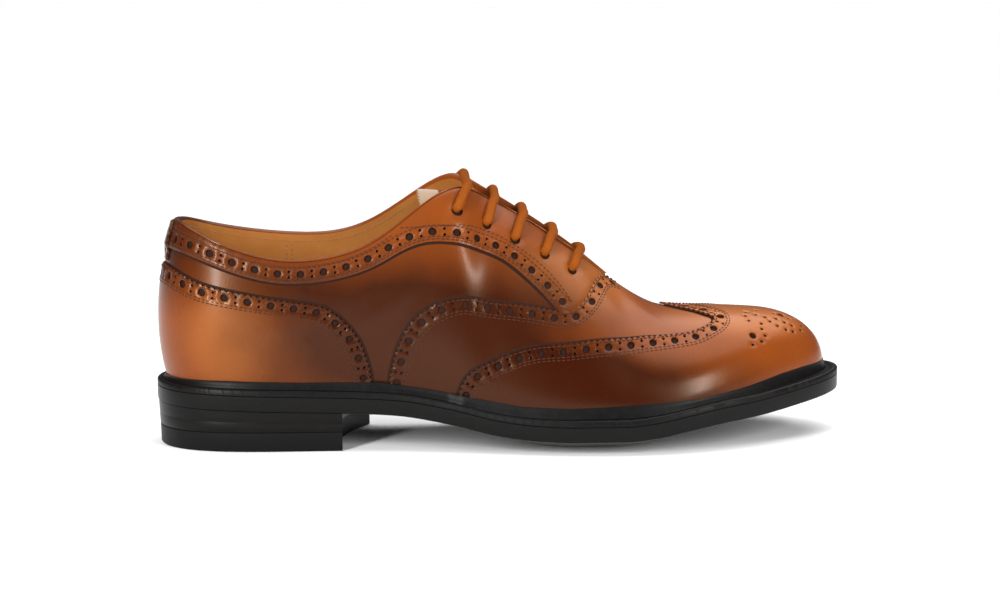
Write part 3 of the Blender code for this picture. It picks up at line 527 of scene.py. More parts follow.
def withInner(outline, make):
    # One outline on the outer side and, mirrored, on the inner side
    vertices, faces = np.zeros((0, 3)), []
    for side in (-1, 1):
        turned = np.array(outline) * np.array([side, 1])
        more, shell = make(turned, side)
        faces += [tuple(i + len(vertices) for i in face) for face in shell]
        vertices = np.concatenate([vertices, more])
    return vertices, faces


# Materials
def addNode(tree, kind, **settings):
    node = tree.nodes.new(kind)
    for key, value in settings.items():
        if key == "values":
            for name, number in value.items():
                node.inputs[name].default_value = number
        elif key == "links":
            for name, source in value.items():
                tree.links.new(source, node.inputs[name])
        else:
            setattr(node, key, value)
    return node


def mathNode(tree, operation, first, second=0.5, clamp=False):
    node = addNode(tree, "ShaderNodeMath", operation=operation, use_clamp=clamp)
    for socket, value in zip(node.inputs, (first, second)):
        if isinstance(value, (int, float)):
            socket.default_value = value
        else:
            tree.links.new(value, socket)
    return node.outputs[0]


def mixColour(tree, factor, first, second):
    node = addNode(tree, "ShaderNodeMix", data_type="RGBA")
    for socket, value in ((node.inputs[0], factor), (node.inputs[6], first), (node.inputs[7], second)):
        if isinstance(value, (int, float)):
            socket.default_value = value
        elif isinstance(value, tuple):
            socket.default_value = (*value, 1.0)
        else:
            tree.links.new(value, socket)
    return node.outputs[2]


def makeGrainGroup():
    # Fine grain, pores and soft waves of finished calf leather
    group = bpy.data.node_groups.new("leatherGrain", "ShaderNodeTree")
    group.interface.new_socket("Height", in_out="OUTPUT", socket_type="NodeSocketFloat")
    group.interface.new_socket("Tone", in_out="OUTPUT", socket_type="NodeSocketFloat")
    place = addNode(group, "ShaderNodeTexCoord").outputs["Object"]
    pores = addNode(group, "ShaderNodeTexVoronoi", values={"Scale": 2600.0}, links={"Vector": place})
    grain, waves, cloud = [
        addNode(group, "ShaderNodeTexNoise", values={"Scale": fine, "Detail": many}, links={"Vector": place})
        for fine, many in ((900.0, 5.0), (60.0, 3.0), (38.0, 6.0))
    ]
    fine = mathNode(group, "MULTIPLY", pores.outputs["Distance"], 0.35)
    height = mathNode(group, "ADD", fine, mathNode(group, "MULTIPLY", grain.outputs["Fac"], 0.6))
    height = mathNode(group, "ADD", height, mathNode(group, "MULTIPLY", waves.outputs["Fac"], 1.2))
    out = addNode(group, "NodeGroupOutput")
    group.links.new(height, out.inputs["Height"])
    group.links.new(cloud.outputs["Fac"], out.inputs["Tone"])
    return group


def makeSpotGroup():
    # 1 inside a soft ellipsoid, 0 outside
    group = bpy.data.node_groups.new("softSpot", "ShaderNodeTree")
    group.interface.new_socket("Centre", in_out="INPUT", socket_type="NodeSocketVector")
    group.interface.new_socket("Reach", in_out="INPUT", socket_type="NodeSocketVector")
    group.interface.new_socket("Mask", in_out="OUTPUT", socket_type="NodeSocketFloat")
    source = addNode(group, "NodeGroupInput")
    place = addNode(group, "ShaderNodeTexCoord").outputs["Object"]
    away = addNode(group, "ShaderNodeVectorMath", operation="SUBTRACT")
    group.links.new(place, away.inputs[0])
    group.links.new(source.outputs["Centre"], away.inputs[1])
    share = addNode(group, "ShaderNodeVectorMath", operation="DIVIDE")
    group.links.new(away.outputs[0], share.inputs[0])
    group.links.new(source.outputs["Reach"], share.inputs[1])
    length = addNode(group, "ShaderNodeVectorMath", operation="LENGTH")
    group.links.new(share.outputs[0], length.inputs[0])
    soft = addNode(
        group, "ShaderNodeMapRange", interpolation_type="SMOOTHERSTEP",
        values={"From Min": 1.0, "From Max": 0.15}, links={"Value": length.outputs["Value"]},
    )
    out = addNode(group, "NodeGroupOutput")
    group.links.new(soft.outputs["Result"], out.inputs["Mask"])
    return group


grainGroup = makeGrainGroup()
spotGroup = makeSpotGroup()


def spot(tree, centre, reach):
    node = addNode(tree, "ShaderNodeGroup", node_tree=spotGroup)
    node.inputs["Centre"].default_value = centre
    node.inputs["Reach"].default_value = reach
    return node.outputs["Mask"]


def newMaterial(name):
    material = bpy.data.materials.new(name)
    material.use_nodes = True
    tree = material.node_tree
    return material, tree, tree.nodes["Principled BSDF"]


# Leather colours: base; pale, the colour of painted light; dark, that of painted shade, burnish and darker
# random tone; glint, the tint of the specular
leatherTone = {
    "base": (0.178, 0.038, 0.0048),
    "pale": (0.400, 0.125, 0.026),
    "dark": (0.026, 0.0034, 0.0004),
    "glint": (1.0, 0.62, 0.34),
}
leatherGloss = {
    "Coat Weight": 0.13, "Coat Roughness": 0.20,
    "Specular IOR Level": 0.22, "Specular Tint": (*leatherTone["glint"], 1.0),
}
# Darker places, mostly painted shade with some burnish: centre and reach in metres, strength
paintedShadeAndBurnish = (
    ((-0.040, -0.040, 0.046), (0.135, 0.075, 0.064), 1.05),
    ((0.048, -0.050, 0.022), (0.125, 0.060, 0.034), 0.95),
    ((-0.150, -0.010, 0.085), (0.090, 0.050, 0.036), 0.62),
    ((-0.150, 0.020, 0.085), (0.090, 0.050, 0.036), 0.55),
    ((-0.100, -0.050, 0.072), (0.060, 0.040, 0.020), 0.45),
    ((0.030, -0.030, 0.075), (0.060, 0.040, 0.030), 0.20),
    ((-0.030, 0.040, 0.046), (0.135, 0.070, 0.062), 1.00),
    ((0.060, 0.050, 0.024), (0.120, 0.055, 0.034), 0.85),
)
# Places of painted light on the lit tops of the vamp and toe and on the heel's side: centre and reach in
# metres, strength
paintedLight = (
    ((0.030, -0.010, 0.070), (0.050, 0.034, 0.026), 0.60),
    ((0.105, -0.004, 0.052), (0.050, 0.030, 0.014), 0.60),
    ((-0.118, -0.028, 0.050), (0.030, 0.026, 0.036), 0.55),
    ((0.020, -0.040, 0.030), (0.030, 0.020, 0.020), 0.25),
)


def addSpots(tree, places):
    total = 0.0
    for centre, reach, strength in places:
        total = mathNode(tree, "ADD", mathNode(tree, "MULTIPLY", spot(tree, centre, reach), strength), total)
    return total


def makeLeather(name, shift=0.0, gloss=0.34):
    material, tree, shader = newMaterial(name)
    grain = addNode(tree, "ShaderNodeGroup", node_tree=grainGroup)
    # Painted shade and burnish darken, and painted light pales, the leather at fixed places; the grain's
    # cloud adds random tone
    dark, pale = [addSpots(tree, places) for places in (paintedShadeAndBurnish, paintedLight)]
    cloud = mathNode(tree, "MULTIPLY", mathNode(tree, "SUBTRACT", grain.outputs["Tone"], 0.5), 0.5)
    dark = mathNode(tree, "ADD", mathNode(tree, "ADD", dark, cloud), shift, clamp=True)
    colour = mixColour(tree, pale, leatherTone["base"], leatherTone["pale"])
    colour = mixColour(tree, dark, colour, leatherTone["dark"])
    tree.links.new(colour, shader.inputs["Base Color"])
    rough = mathNode(tree, "ADD", mathNode(tree, "MULTIPLY", grain.outputs["Tone"], 0.18), gloss - 0.09)
    tree.links.new(rough, shader.inputs["Roughness"])
    for socket, value in leatherGloss.items():
        shader.inputs[socket].default_value = value
    bump = addNode(
        tree, "ShaderNodeBump", values={"Strength": 0.30, "Distance": 0.00022},
        links={"Height": grain.outputs["Height"]},
    )
    tree.links.new(bump.outputs["Normal"], shader.inputs["Normal"])
    return material


def makePlain(name, colour, second, roughness, scale=120.0, bumpSize=0.0002, stretch=(1, 1, 1), sheen=0):
    material, tree, shader = newMaterial(name)
    # Near-black finishes shine less
    shader.inputs["Specular IOR Level"].default_value = 0.12 if max(colour) < 0.012 else 0.25
    place = addNode(tree, "ShaderNodeTexCoord").outputs["Object"]
    turn = addNode(tree, "ShaderNodeMapping", links={"Vector": place})
    turn.inputs["Scale"].default_value = stretch
    noise = addNode(
        tree, "ShaderNodeTexNoise", values={"Scale": scale, "Detail": 8.0, "Roughness": 0.65},
        links={"Vector": turn.outputs["Vector"]},
    )
    colour = mixColour(tree, noise.outputs["Fac"], colour, second)
    tree.links.new(colour, shader.inputs["Base Color"])
    rough = mathNode(tree, "ADD", mathNode(tree, "MULTIPLY", noise.outputs["Fac"], 0.2), roughness - 0.1)
    tree.links.new(rough, shader.inputs["Roughness"])
    shader.inputs["Sheen Weight"].default_value = sheen
    bump = addNode(
        tree, "ShaderNodeBump", values={"Strength": 0.5, "Distance": bumpSize},
        links={"Height": noise.outputs["Fac"]},
    )
    tree.links.new(bump.outputs["Normal"], shader.inputs["Normal"])
    return material


def makeCord(name):
    material, tree, shader = newMaterial(name)
    uv = addNode(tree, "ShaderNodeUVMap", uv_map="UVMap").outputs["UV"]
    parts = addNode(tree, "ShaderNodeSeparateXYZ", links={"Vector": uv})
    heights = []
    for sign in (1, -1):
        wave = mathNode(tree, "MULTIPLY", parts.outputs["X"], 14.0 * sign)
        wave = mathNode(tree, "ADD", wave, mathNode(tree, "MULTIPLY", parts.outputs["Y"], 1100.0))
        wave = mathNode(tree, "MULTIPLY", wave, math.pi)
        heights.append(mathNode(tree, "ABSOLUTE", mathNode(tree, "SINE", wave)))
    weave = mathNode(tree, "MAXIMUM", *heights)
    # The cord is darker down in the grooves of its weave: painted shade
    colour = mixColour(tree, weave, (0.085, 0.018, 0.0022), (0.255, 0.062, 0.0065))
    tree.links.new(colour, shader.inputs["Base Color"])
    shader.inputs["Roughness"].default_value = 0.85
    shader.inputs["Specular IOR Level"].default_value = 0.05
    bump = addNode(
        tree, "ShaderNodeBump", values={"Strength": 0.7, "Distance": 0.0003}, links={"Height": weave},
    )
    tree.links.new(bump.outputs["Normal"], shader.inputs["Normal"])
    return material


quarterLeather = makeLeather("quarterLeather", 0.12)
vampLeather = makeLeather("vampLeather", 0.02, 0.34)
capLeather = makeLeather("capLeather", 0.02, 0.28)
stripLeather = makeLeather("stripLeather", 0.05, 0.34)
tongueLeather = makeLeather("tongueLeather", -0.10, 0.45)
liningLeather = makePlain("liningLeather", (0.32, 0.115, 0.020), (0.44, 0.175, 0.040), 0.55, 90.0)
sockLeather = makePlain("sockLeather", (0.34, 0.140, 0.035), (0.45, 0.21, 0.065), 0.55, 90.0)
threadCotton = makePlain("threadCotton", (0.030, 0.008, 0.0025), (0.065, 0.018, 0.005), 0.7, 900.0, 0.0001)
liningThread = makePlain("liningThread", (0.30, 0.12, 0.04), (0.40, 0.19, 0.07), 0.7, 900.0, 0.0001)
inkBlack, inkGrey = (0.0016, 0.0014, 0.0013), (0.0055, 0.0050, 0.0046)
blackEdge = makePlain("blackEdge", inkBlack, inkGrey, 0.36, 260.0, 0.0002, (1, 1, 3))
blackWelt = makePlain("blackWelt", (0.0014, 0.0012, 0.0011), (0.0048, 0.0042, 0.0040), 0.42, 300.0, 0.0002)
heelLeather = makePlain("heelLeather", inkBlack, inkGrey, 0.34, 240.0, 0.00015, (1, 1, 4))
heelRubber = makePlain("heelRubber", (0.0020, 0.0018, 0.0017), (0.0055, 0.0050, 0.0048), 0.50, 500.0, 0.0002)
treadLeather = makePlain("treadLeather", (0.012, 0.011, 0.010), (0.035, 0.030, 0.026), 0.5, 150.0, 0.0003)
cordCotton = makeCord("cordCotton")
cutEdge = makePlain("cutEdge", (0.045, 0.012, 0.004), (0.095, 0.028, 0.009), 0.6, 700.0, 0.0001)
holeShade = makePlain("holeShade", (0.010, 0.0028, 0.0010), (0.026, 0.0070, 0.0024), 0.7, 500.0, 0.0001)
tongueFelt = makePlain(
    "tongueFelt", (0.26, 0.165, 0.095), (0.35, 0.235, 0.145), 0.8, 700.0, 0.0002, sheen=0.4,
)
print("materials made")

# Lines of the leather pieces on the outer side
footRise = 0.004
vampBack = (
    (0.388, footRise), (0.392, 0.16), (0.399, 0.29), (0.411, 0.394), (0.424, 0.434),
    (0.440, 0.446), (0.476, 0.446), (0.508, 0.478), (0.540, 0.508), (0.557, 0.535),
    (0.568, 0.595), (0.577, 0.690), (0.587, 0.830), (0.598, 0.935), (0.612, 1.0),
)
wingBack = (
    (0.450, footRise), (0.460, 0.130), (0.473, 0.188), (0.489, 0.237), (0.518, 0.315),
    (0.545, 0.358), (0.578, 0.408), (0.608, 0.468), (0.638, 0.530), (0.669, 0.572),
    (0.697, 0.606), (0.716, 0.655), (0.729, 0.710), (0.732, 0.752), (0.725, 0.795),
    (0.714, 0.850), (0.700, 0.905), (0.682, 0.955), (0.659, 1.0),
)
counterEdge = (
    (0.000, 0.712), (0.060, 0.712), (0.120, 0.702), (0.160, 0.696), (0.200, 0.704),
    (0.240, 0.713), (0.280, 0.708), (0.308, 0.685), (0.328, 0.640), (0.344, 0.545),
    (0.356, 0.440), (0.366, 0.300), (0.372, 0.150), (0.375, footRise),
)
facingBack = (
    (0.000, 0.822), (0.070, 0.822), (0.110, 0.833), (0.150, 0.842), (0.210, 0.841),
    (0.255, 0.834), (0.290, 0.832), (0.323, 0.834), (0.356, 0.835), (0.383, 0.829),
    (0.406, 0.812), (0.425, 0.769), (0.444, 0.708), (0.465, 0.658), (0.494, 0.646),
    (0.5085, 0.625), (0.525, 0.583), (0.5400, 0.529), (0.5460, 0.500),
)
facingFront = (
    (0.5460, 0.500), (0.5580, 0.525), (0.5650, 0.560), (0.5740, 0.640), (0.5830, 0.760), (0.5920, 0.880),
    (0.6000, 0.988),
)
facingInner = (
    (0.402, 0.965), (0.424, 0.860), (0.446, 0.781), (0.465, 0.752), (0.492, 0.750), (0.5105, 0.738),
    (0.533, 0.698), (0.548, 0.640), (0.560, 0.562),
)
eyelets = ((0.4545, 0.845), (0.4820, 0.790), (0.5078, 0.782), (0.5355, 0.785), (0.5615, 0.778))
pinking = {"pitch": 0.0026, "depth": 0.0011}
holeRow = {"inset": 0.0036, "pitch": 0.0099, "large": 0.00175, "small": 0.00066, "pair": 0.00130}
stitching = {"pitch": 0.0021, "length": 0.0016, "radius": 0.00024}
stitchLines = []
holeFloors = []
shadedEdges = []


def pinked(line):
    steps = evenSteps(line, pinking["pitch"] / 2)
    shift = np.where(np.arange(len(steps)) % 2 == 1, pinking["depth"], 0.0)
    shift[0] = shift[-1] = 0.0
    return slide(steps, sideways(steps) * shift[:, None])


def broguing(line, inset, margin=0.0042):
    # Large holes with a pair of small ones between them, along a line's left side
    row = beside(line, inset, 0.0005)
    place = onWall(row[:, 0], row[:, 1], 0.0)
    key = np.concatenate([[0], np.cumsum(np.linalg.norm(np.diff(place, axis=0), axis=1))])
    count = max(2, int(round((key[-1] - 2 * margin) / holeRow["pitch"])) + 1)
    at = np.linspace(margin, key[-1] - margin, count)
    middle = (at[1:] + at[:-1]) / 2
    large = np.column_stack([np.interp(at, key, row[:, k]) for k in (0, 1)])
    small = np.column_stack([np.interp(middle, key, row[:, k]) for k in (0, 1)])
    wide = sideways(row)
    turned = np.column_stack([np.interp(middle, key, wide[:, k]) for k in (0, 1, 2)])
    rings = [ringAt(p, holeRow["large"], 14) for p in large]
    for sign in (-1, 1):
        shifted = slide(small, turned * sign * holeRow["pair"])
        rings += [ringAt(p, holeRow["small"], 8) for p in shifted]
    return rings


def frontOutline(edge, spacing=0.0016):
    ridge = straight((edge[-1][0], 1.0), (1.0, 1.0), 200, spacing)[1:]
    tip = straight((1.0, 1.0), (1.0, footRise), 60, spacing)[1:]
    foot = straight((1.0, footRise), (edge[0][0], footRise), 200, spacing)[1:-1]
    return [ridge, tip, foot]


def leatherPiece(name, outline, holes, low, high, material, replaced=(), spacing=0.0015, drape=None):
    # A leather piece on both sides of the shoe, with its cut edges in their own colour
    def cutSide(turned, side):
        rings = [ring * np.array([side, 1]) for ring in holes]
        return cutLeather(turned, rings, low, high, spacing, drape)

    vertices, faces = withInner(outline, cutSide)
    newPiece(name, vertices, faces, material, replaced, merge=0.00002, edge=cutEdge)


def stitchBeside(line, distances, offset):
    for distance in distances:
        stitchLines.append((beside(line, distance), offset))


def makeFront(name, back, low, high, material, extraHoles, replaced):
    line = evenLine(back, 0.0008)
    outline = np.concatenate([pinked(line)] + frontOutline(line))
    rings = broguing(line, holeRow["inset"]) + extraHoles
    leatherPiece(name, outline, rings, low, high, material, replaced)
    below = low - upper["gap"] * (low > 0)
    holeFloors.append((rings, below))
    shadedEdges.append((line, 1, below))
    stitchBeside(line, (0.0014, 0.0062, 0.0074), high)


# The toe's medallion: turn and rise of each hole on the outer half
medallionLarge = ((0.904, 0.690), (0.775, 0.490))
medallionSmall = (
    (0.806, 0.802), (0.792, 0.740), (0.788, 0.667), (0.852, 0.833), (0.819, 0.745), (0.806, 0.612),
    (0.832, 0.695), (0.830, 0.628), (0.856, 0.652), (0.836, 0.560), (0.848, 0.500), (0.866, 0.585),
    (0.908, 0.618), (0.863, 0.462), (0.878, 0.530), (0.936, 0.583), (0.894, 0.455), (0.919, 0.490),
    (0.957, 0.525), (0.798, 0.548), (0.796, 0.472), (0.785, 0.420), (0.768, 0.400), (0.884, 0.735),
)


def medallion():
    rings = [ringAt(np.array(place), 0.00155, 14) for place in medallionLarge]
    return rings + [ringAt(np.array(place), 0.00068, 8) for place in medallionSmall]


low, high = upper["gap"], upper["gap"] + upper["leather"]

# Upper: the quarters, from the foot to the top line
turnCount, riseCount = 480, 44
turnMesh, riseMesh = np.meshgrid(np.linspace(-1, 1, turnCount, endpoint=False), np.linspace(0, 1, riseCount))
wallFaces = gridFaces(riseCount, turnCount, True)
quarterVertices, liningVertices = [
    onWall(turnMesh, riseMesh, offset).reshape(-1, 3) for offset in (0.0, -upper["wall"])
]
newPiece("quarters", quarterVertices, wallFaces, quarterLeather, ("upper",), merge=0.00001)
newPiece("lining", liningVertices, wallFaces, liningLeather, merge=0.00001)

# Collar edge: the fold of leather over the top line and down both sides of the throat
fold = {"end": 0.600, "steps": 9, "count": 700, "rise": 0.0011}
foldTurns = np.linspace(-fold["end"], fold["end"], fold["count"])
foldVertices = []
for step in range(fold["steps"]):
    swing = math.pi * step / (fold["steps"] - 1)
    middle, half = (high - upper["wall"]) / 2, (high + upper["wall"]) / 2
    offset = middle + half * math.cos(swing)
    place = onWall(foldTurns, np.full(fold["count"], 0.994), offset)
    place[:, 2] += fold["rise"] * math.sin(swing)
    foldVertices.append(place)
newPiece("collarFold", np.concatenate(foldVertices), gridFaces(fold["steps"], fold["count"]), stripLeather)
print("quarters, lining and fold made")

makeFront("vamp", vampBack, 0.0, upper["leather"], vampLeather, [], ())
makeFront("wingCap", wingBack, upper["leather"] + low, upper["leather"] + high, capLeather, medallion(),
          ("wing_cap",))
print("vamp and wing cap made")


def makeCounter():
    line = evenLine(counterEdge, 0.0008)
    foot = straight((line[-1][0], footRise), (0.0, footRise), 120, 0.0016)[1:]
    back = straight((0.0, footRise), (0.0, line[0][1]), 60, 0.0016)[1:-1]
    outline = np.concatenate([pinked(line), foot, back])
    rings = broguing(line, holeRow["inset"], 0.0055)
    leatherPiece("heelCounter", outline, rings, low, high, capLeather, ("heel_counter",))
    holeFloors.append((rings, 0.0))
    shadedEdges.append((line, 1, 0.0))
    stitchBeside(line, (0.0014, 0.0064, 0.0076), high)


makeCounter()


def facingDrape(place):
    # The facing sinks under the vamp at its front
    sink = steadyCurve((0.0, 0.505, 0.548, 0.580, 1.0), (0.0, 0.0, -0.0007, -0.0010, -0.0010))
    return sink(np.abs(place[:, 0]))


def makeFacings():
    back = evenLine(facingBack, 0.0012)
    front = evenLine(facingFront, 0.0012)
    top = straight((0.600, 0.992), (0.0, 0.992), 400, 0.0014)[1:]
    close = straight((0.0, 0.992), (0.0, back[0][1]), 20, 0.0014)[1:-1]
    outline = np.concatenate([back, front[1:], top, close])
    rings = broguing(back, -0.0044, 0.0035)
    holes = rings + [ringAt(np.array(e), 0.0024, 16) for e in eyelets]
    holeFloors.append((holes, 0.0))
    leatherPiece("facings", outline, holes, low, high, stripLeather, ("facing_lateral", "facing_medial"),
                 drape=facingDrape)
    shadedEdges.append((back, -1, low - 0.0003))
    inner = evenLine(facingInner, 0.0010)
    lines = [beside(back, -distance) for distance in (0.0010, 0.0021, 0.0072)]
    lines += [inner, straight((0.02, 0.958), (0.398, 0.958), 300, 0.0010)]
    for line in lines:
        stitchLines.append((line, high + facingDrape(line)))


makeFacings()


strap = {"turn": 0.040, "foot": 0.735, "top": 0.985, "low": 0.0002, "high": 0.0011}


def makeStrap():
    # The small strap over the heel seam, lifted over the facings at its top
    wide, foot, top = strap["turn"], strap["foot"], strap["top"]
    outline = np.concatenate([
        straight((0.0, foot), (wide, foot), 20, 0.0012)[:-1],
        pinked(straight((wide, foot), (wide, top), 60, 0.0008)),
        straight((wide, top), (0.0, top), 20, 0.0012)[1:],
    ])
    lift = steadyCurve((0.0, 0.790, 0.835, 1.0), (0.0, 0.0, high, high))
    leatherPiece("backStrap", outline, [], strap["low"], strap["high"], stripLeather, ("back_strap",),
                 0.0010, lambda place: lift(place[:, 1]))


makeStrap()
print("counter, facings and strap made")


def capsuleRow(line, offset, face):
    # Stitches as short rounded threads, half sunk in the leather
    pitch, length, radius = stitching["pitch"], stitching["length"], stitching["radius"]
    place = onWall(line[:, 0], line[:, 1], offset + face * radius * 0.25)
    key = np.concatenate([[0], np.cumsum(np.linalg.norm(np.diff(place, axis=0), axis=1))])
    count = int(key[-1] / pitch)
    middle = (np.arange(count) + 0.5) * pitch
    profile = ((-0.5, 0.0), (-0.42, 0.75), (-0.2, 1.0), (0.2, 1.0), (0.42, 0.75), (0.5, 0.0))
    sides = 6
    wall = wallNormal(line[:, 0], line[:, 1]) * face
    vertices, faces = [], []
    for at in middle:
        centre = np.array([np.interp(at, key, place[:, k]) for k in range(3)])
        ahead = np.array([np.interp(at + pitch / 4, key, place[:, k]) for k in range(3)]) - centre
        ahead /= max(np.linalg.norm(ahead), 1e-9)
        out = np.array([np.interp(at, key, wall[:, k]) for k in range(3)])
        across = np.cross(out, ahead)
        start = len(vertices)
        for share, wide in profile:
            sink = -radius * 0.9 * (abs(share) * 2) ** 3
            for k in range(sides):
                angle = 2 * math.pi * k / sides
                ring = (out * math.sin(angle) + across * math.cos(angle)) * radius * max(wide, 0.05)
                vertices.append(centre + ahead * share * length + ring + out * sink)
        faces += gridFaces(len(profile), sides, True, start)
    return vertices, faces


def makeHoleFloors():
    # The shaded leather at the bottom of each hole
    vertices, faces = [], []
    for rings, offset in holeFloors:
        for ring in rings:
            middle = ring.mean(0)
            disc = np.concatenate([[middle], middle + (ring - middle) * 1.04])
            for side in (-1, 1):
                turned = disc * np.array([side, 1])
                start = len(vertices)
                vertices += list(onWall(turned[:, 0], turned[:, 1], offset + 0.00012))
                count = len(ring)
                faces += [(start, start + 1 + k, start + 1 + (k + 1) % count) for k in range(count)]
    newPiece("holeFloors", vertices, faces, holeShade)


makeHoleFloors()


# Rows of the strip: how far inside the edge, and height over the layer below
shadeRows = ((0.0020, 0.00010), (0.0004, 0.00010), (-0.0007, 0.00008), (-0.0011, -0.0001))


def makeEdgeShade():
    # Painted shadow under the gimped edges, with some burnish along them, as a thin dark strip on the layer
    # below
    vertices, faces = [], []
    for line, inside, base in shadedEdges:
        steps = evenSteps(line, 0.0020)
        across = sideways(steps) * inside
        for side in (-1, 1):
            start = len(vertices)
            for reach, lift in shadeRows:
                row = slide(steps, across * reach) * np.array([side, 1])
                vertices += list(onWall(row[:, 0], row[:, 1], base + lift))
            faces += gridFaces(4, len(steps), start=start)
    newPiece("edgeShade", vertices, faces, holeShade)


makeEdgeShade()


def makeStitches(name, lines, material, face=1):
    vertices, faces = [], []
    for line, offset in lines:
        for side in (-1, 1):
            turned = line * np.array([side, 1])
            more, shell = capsuleRow(turned, offset, face)
            faces += [tuple(i + len(vertices) for i in face) for face in shell]
            vertices += more
    newPiece(name, vertices, faces, material, sharp=80)


makeStitches("upperStitches", stitchLines, threadCotton)

# Lining: a row under the top line and the two rows of its quarter seam
liningLines = [straight((0.0, 0.952), (0.440, 0.952), 300, 0.0010)]
for turn in (0.287 - 0.0035, 0.287 + 0.0035):
    liningLines.append(straight((turn, 0.45), (turn, 0.945), 80, 0.0010))
makeStitches("liningStitches", [(line, -upper["wall"]) for line in liningLines], liningThread, -1)
print("stitches made")

# Sole: welt, outsole, heel and insole, smooth copies of the CAD's forms
around = np.linspace(-math.pi, math.pi, 720, endpoint=False)


def soleLoop(inset, height):
    place = insetEdge(around, inset)
    level = np.broadcast_to(height, around.shape) + treadHeight(place[:, 0])
    return np.column_stack([place, level]) + shoeShift


def soleRing(name, profile, material, replaced=(), closed=True):
    loops = [soleLoop(inset, height) for inset, height in profile]
    if closed:
        loops.append(loops[0])
    faces = gridFaces(len(loops), len(around), True)
    return newPiece(name, np.concatenate(loops), faces, material, replaced, merge=0.000005, sharp=35)


weltLow = sole["thickness"] + sole["weltGap"] * 0.4
weltHigh = sole["thickness"] + sole["weltGap"] + sole["welt"]
edgeLength = np.concatenate([[0], np.cumsum(np.linalg.norm(np.diff(soleLoop(0.0, 0.0), axis=0), axis=1))])
wheel = np.abs(np.sin(math.pi * edgeLength / 0.0021)) ** 0.7
tuck = ledgeWidth(around) + 0.0035
weltProfile = [
    (0.0002, weltLow), (0.0, weltLow + 0.0002), (0.0, weltHigh - 0.0008),
    (0.0003, weltHigh - 0.0003 - 0.0002 * (1 - wheel)), (0.0008, weltHigh + 0.0001 - 0.0004 * (1 - wheel)),
    (0.0018, weltHigh + 0.0002 - 0.0005 * (1 - wheel)), (0.0028, weltHigh + 0.0001 - 0.0002 * (1 - wheel)),
    (0.0034, weltHigh - 0.0003), (0.0042, weltHigh - 0.0001), (tuck, weltHigh), (tuck, weltLow),
]
soleRing("weltStrip", weltProfile, blackWelt, ("welt",))

thick = sole["thickness"]
outsoleProfile = [
    (0.0008, 0.0), (0.0002, 0.0003), (0.0, 0.0010), (0.0, thick - 0.0001), (0.0002, thick + 0.0001),
    (0.0012, thick), (tuck, thick),
]
soleRing("outsoleEdge", outsoleProfile, blackEdge, closed=False)


def makeTread():
    rowAngles = np.linspace(0, math.pi, 180)
    shares = np.linspace(-1, 1, 33)
    left = insetEdge(-rowAngles, 0.0008)
    right = insetEdge(rowAngles, 0.0008)
    rows = []
    for a, b in zip(left, right):
        place = a + (b - a) * ((shares + 1) / 2)[:, None]
        past = np.maximum(0, (np.abs(shares) - sole["flatShare"]) / (1 - sole["flatShare"]))
        rows.append(np.column_stack([place, treadHeight(place[:, 0], past**2)]) + shoeShift)
    vertices = np.concatenate(rows)
    newPiece("tread", vertices, gridFaces(len(rows), len(shares)), treadLeather,
             ("outsole",), merge=0.000005)


makeTread()

# The black bead against the upper, from the welt up to the tan leather: x and height of its top
beadTop = (
    (0.0, 0.0305), (0.032, 0.0307), (0.063, 0.0298), (0.097, 0.0296), (0.118, 0.0269), (0.138, 0.0236),
    (0.158, 0.0202), (0.179, 0.0196), (0.199, 0.0206), (0.235, 0.0226), (0.254, 0.0258), (0.273, 0.0300),
    (0.284, 0.0316), (0.3050, 0.0330),
)


bead = {"lowest": 0.0016, "proud": 0.0003, "flare": 0.0015, "tuck": 0.0005, "wall": 0.06}
# The leather layers that the bead covers, by turn
beadLayers = {
    "turns": (0, 0.370, 0.390, 0.445, 0.456, 1),
    "widths": (0.0015, 0.0015, 0.0011, 0.0011, 0.0026, 0.0026),
}


def makeBead():
    turn = around / math.pi
    foot = onWall(turn, np.zeros(len(turn)), 0.0)
    x = foot[:, 0] - shoeShift[0]
    deck = deckHeight(x)
    beadHeight = np.interp(x, column(beadTop, 0), column(beadTop, 1)) - deck
    beadHeight = np.maximum(beadHeight, bead["lowest"])
    out = np.column_stack([edgeNormal(around), np.zeros(len(around))])
    layers = np.interp(np.abs(turn), beadLayers["turns"], beadLayers["widths"])
    rows = []
    for share in np.linspace(0, 1, 9):
        wide = layers + bead["proud"] + bead["flare"] * (1 - math.sin(share * math.pi / 2) ** 1.2)
        place = foot + out * wide[:, None]
        place[:, 2] = deck + beadHeight * share
        climb = readGrid(wallPlace, turn, np.clip(beadHeight * share / bead["wall"], 0, 1))
        place[:, :2] += (climb - foot)[:, :2]
        rows.append(place)
    rows.append(rows[-1] - out * (layers + bead["tuck"])[:, None])
    newPiece("weltBead", np.concatenate(rows), gridFaces(len(rows), len(around), True), blackWelt,
             merge=0.000005, sharp=60)


makeBead()

heelEnds = {"outer": 1.082, "inner": 1.176, "hollow": 0.006}


def heelLoop(inset, height):
    # Round the heel from its front corner on the outer side, over the back, to the inner one, then its front
    outer = -heelEnds["outer"] * np.linspace(1, 0, 60)
    inner = heelEnds["inner"] * np.linspace(0, 1, 60)[1:]
    walls = np.concatenate([insetEdge(outer, inset), insetEdge(inner, inset)])
    shares = np.linspace(1, -1, 30)[1:-1]
    first, last = walls[-1], walls[0]
    front = last + (first - last) * ((shares + 1) / 2)[:, None]
    front[:, 0] -= heelEnds["hollow"] * (1 - shares**2)
    place = np.concatenate([walls, front])
    level = height(place[:, 0]) if callable(height) else np.full(len(place), height)
    return np.column_stack([place, level]) + shoeShift


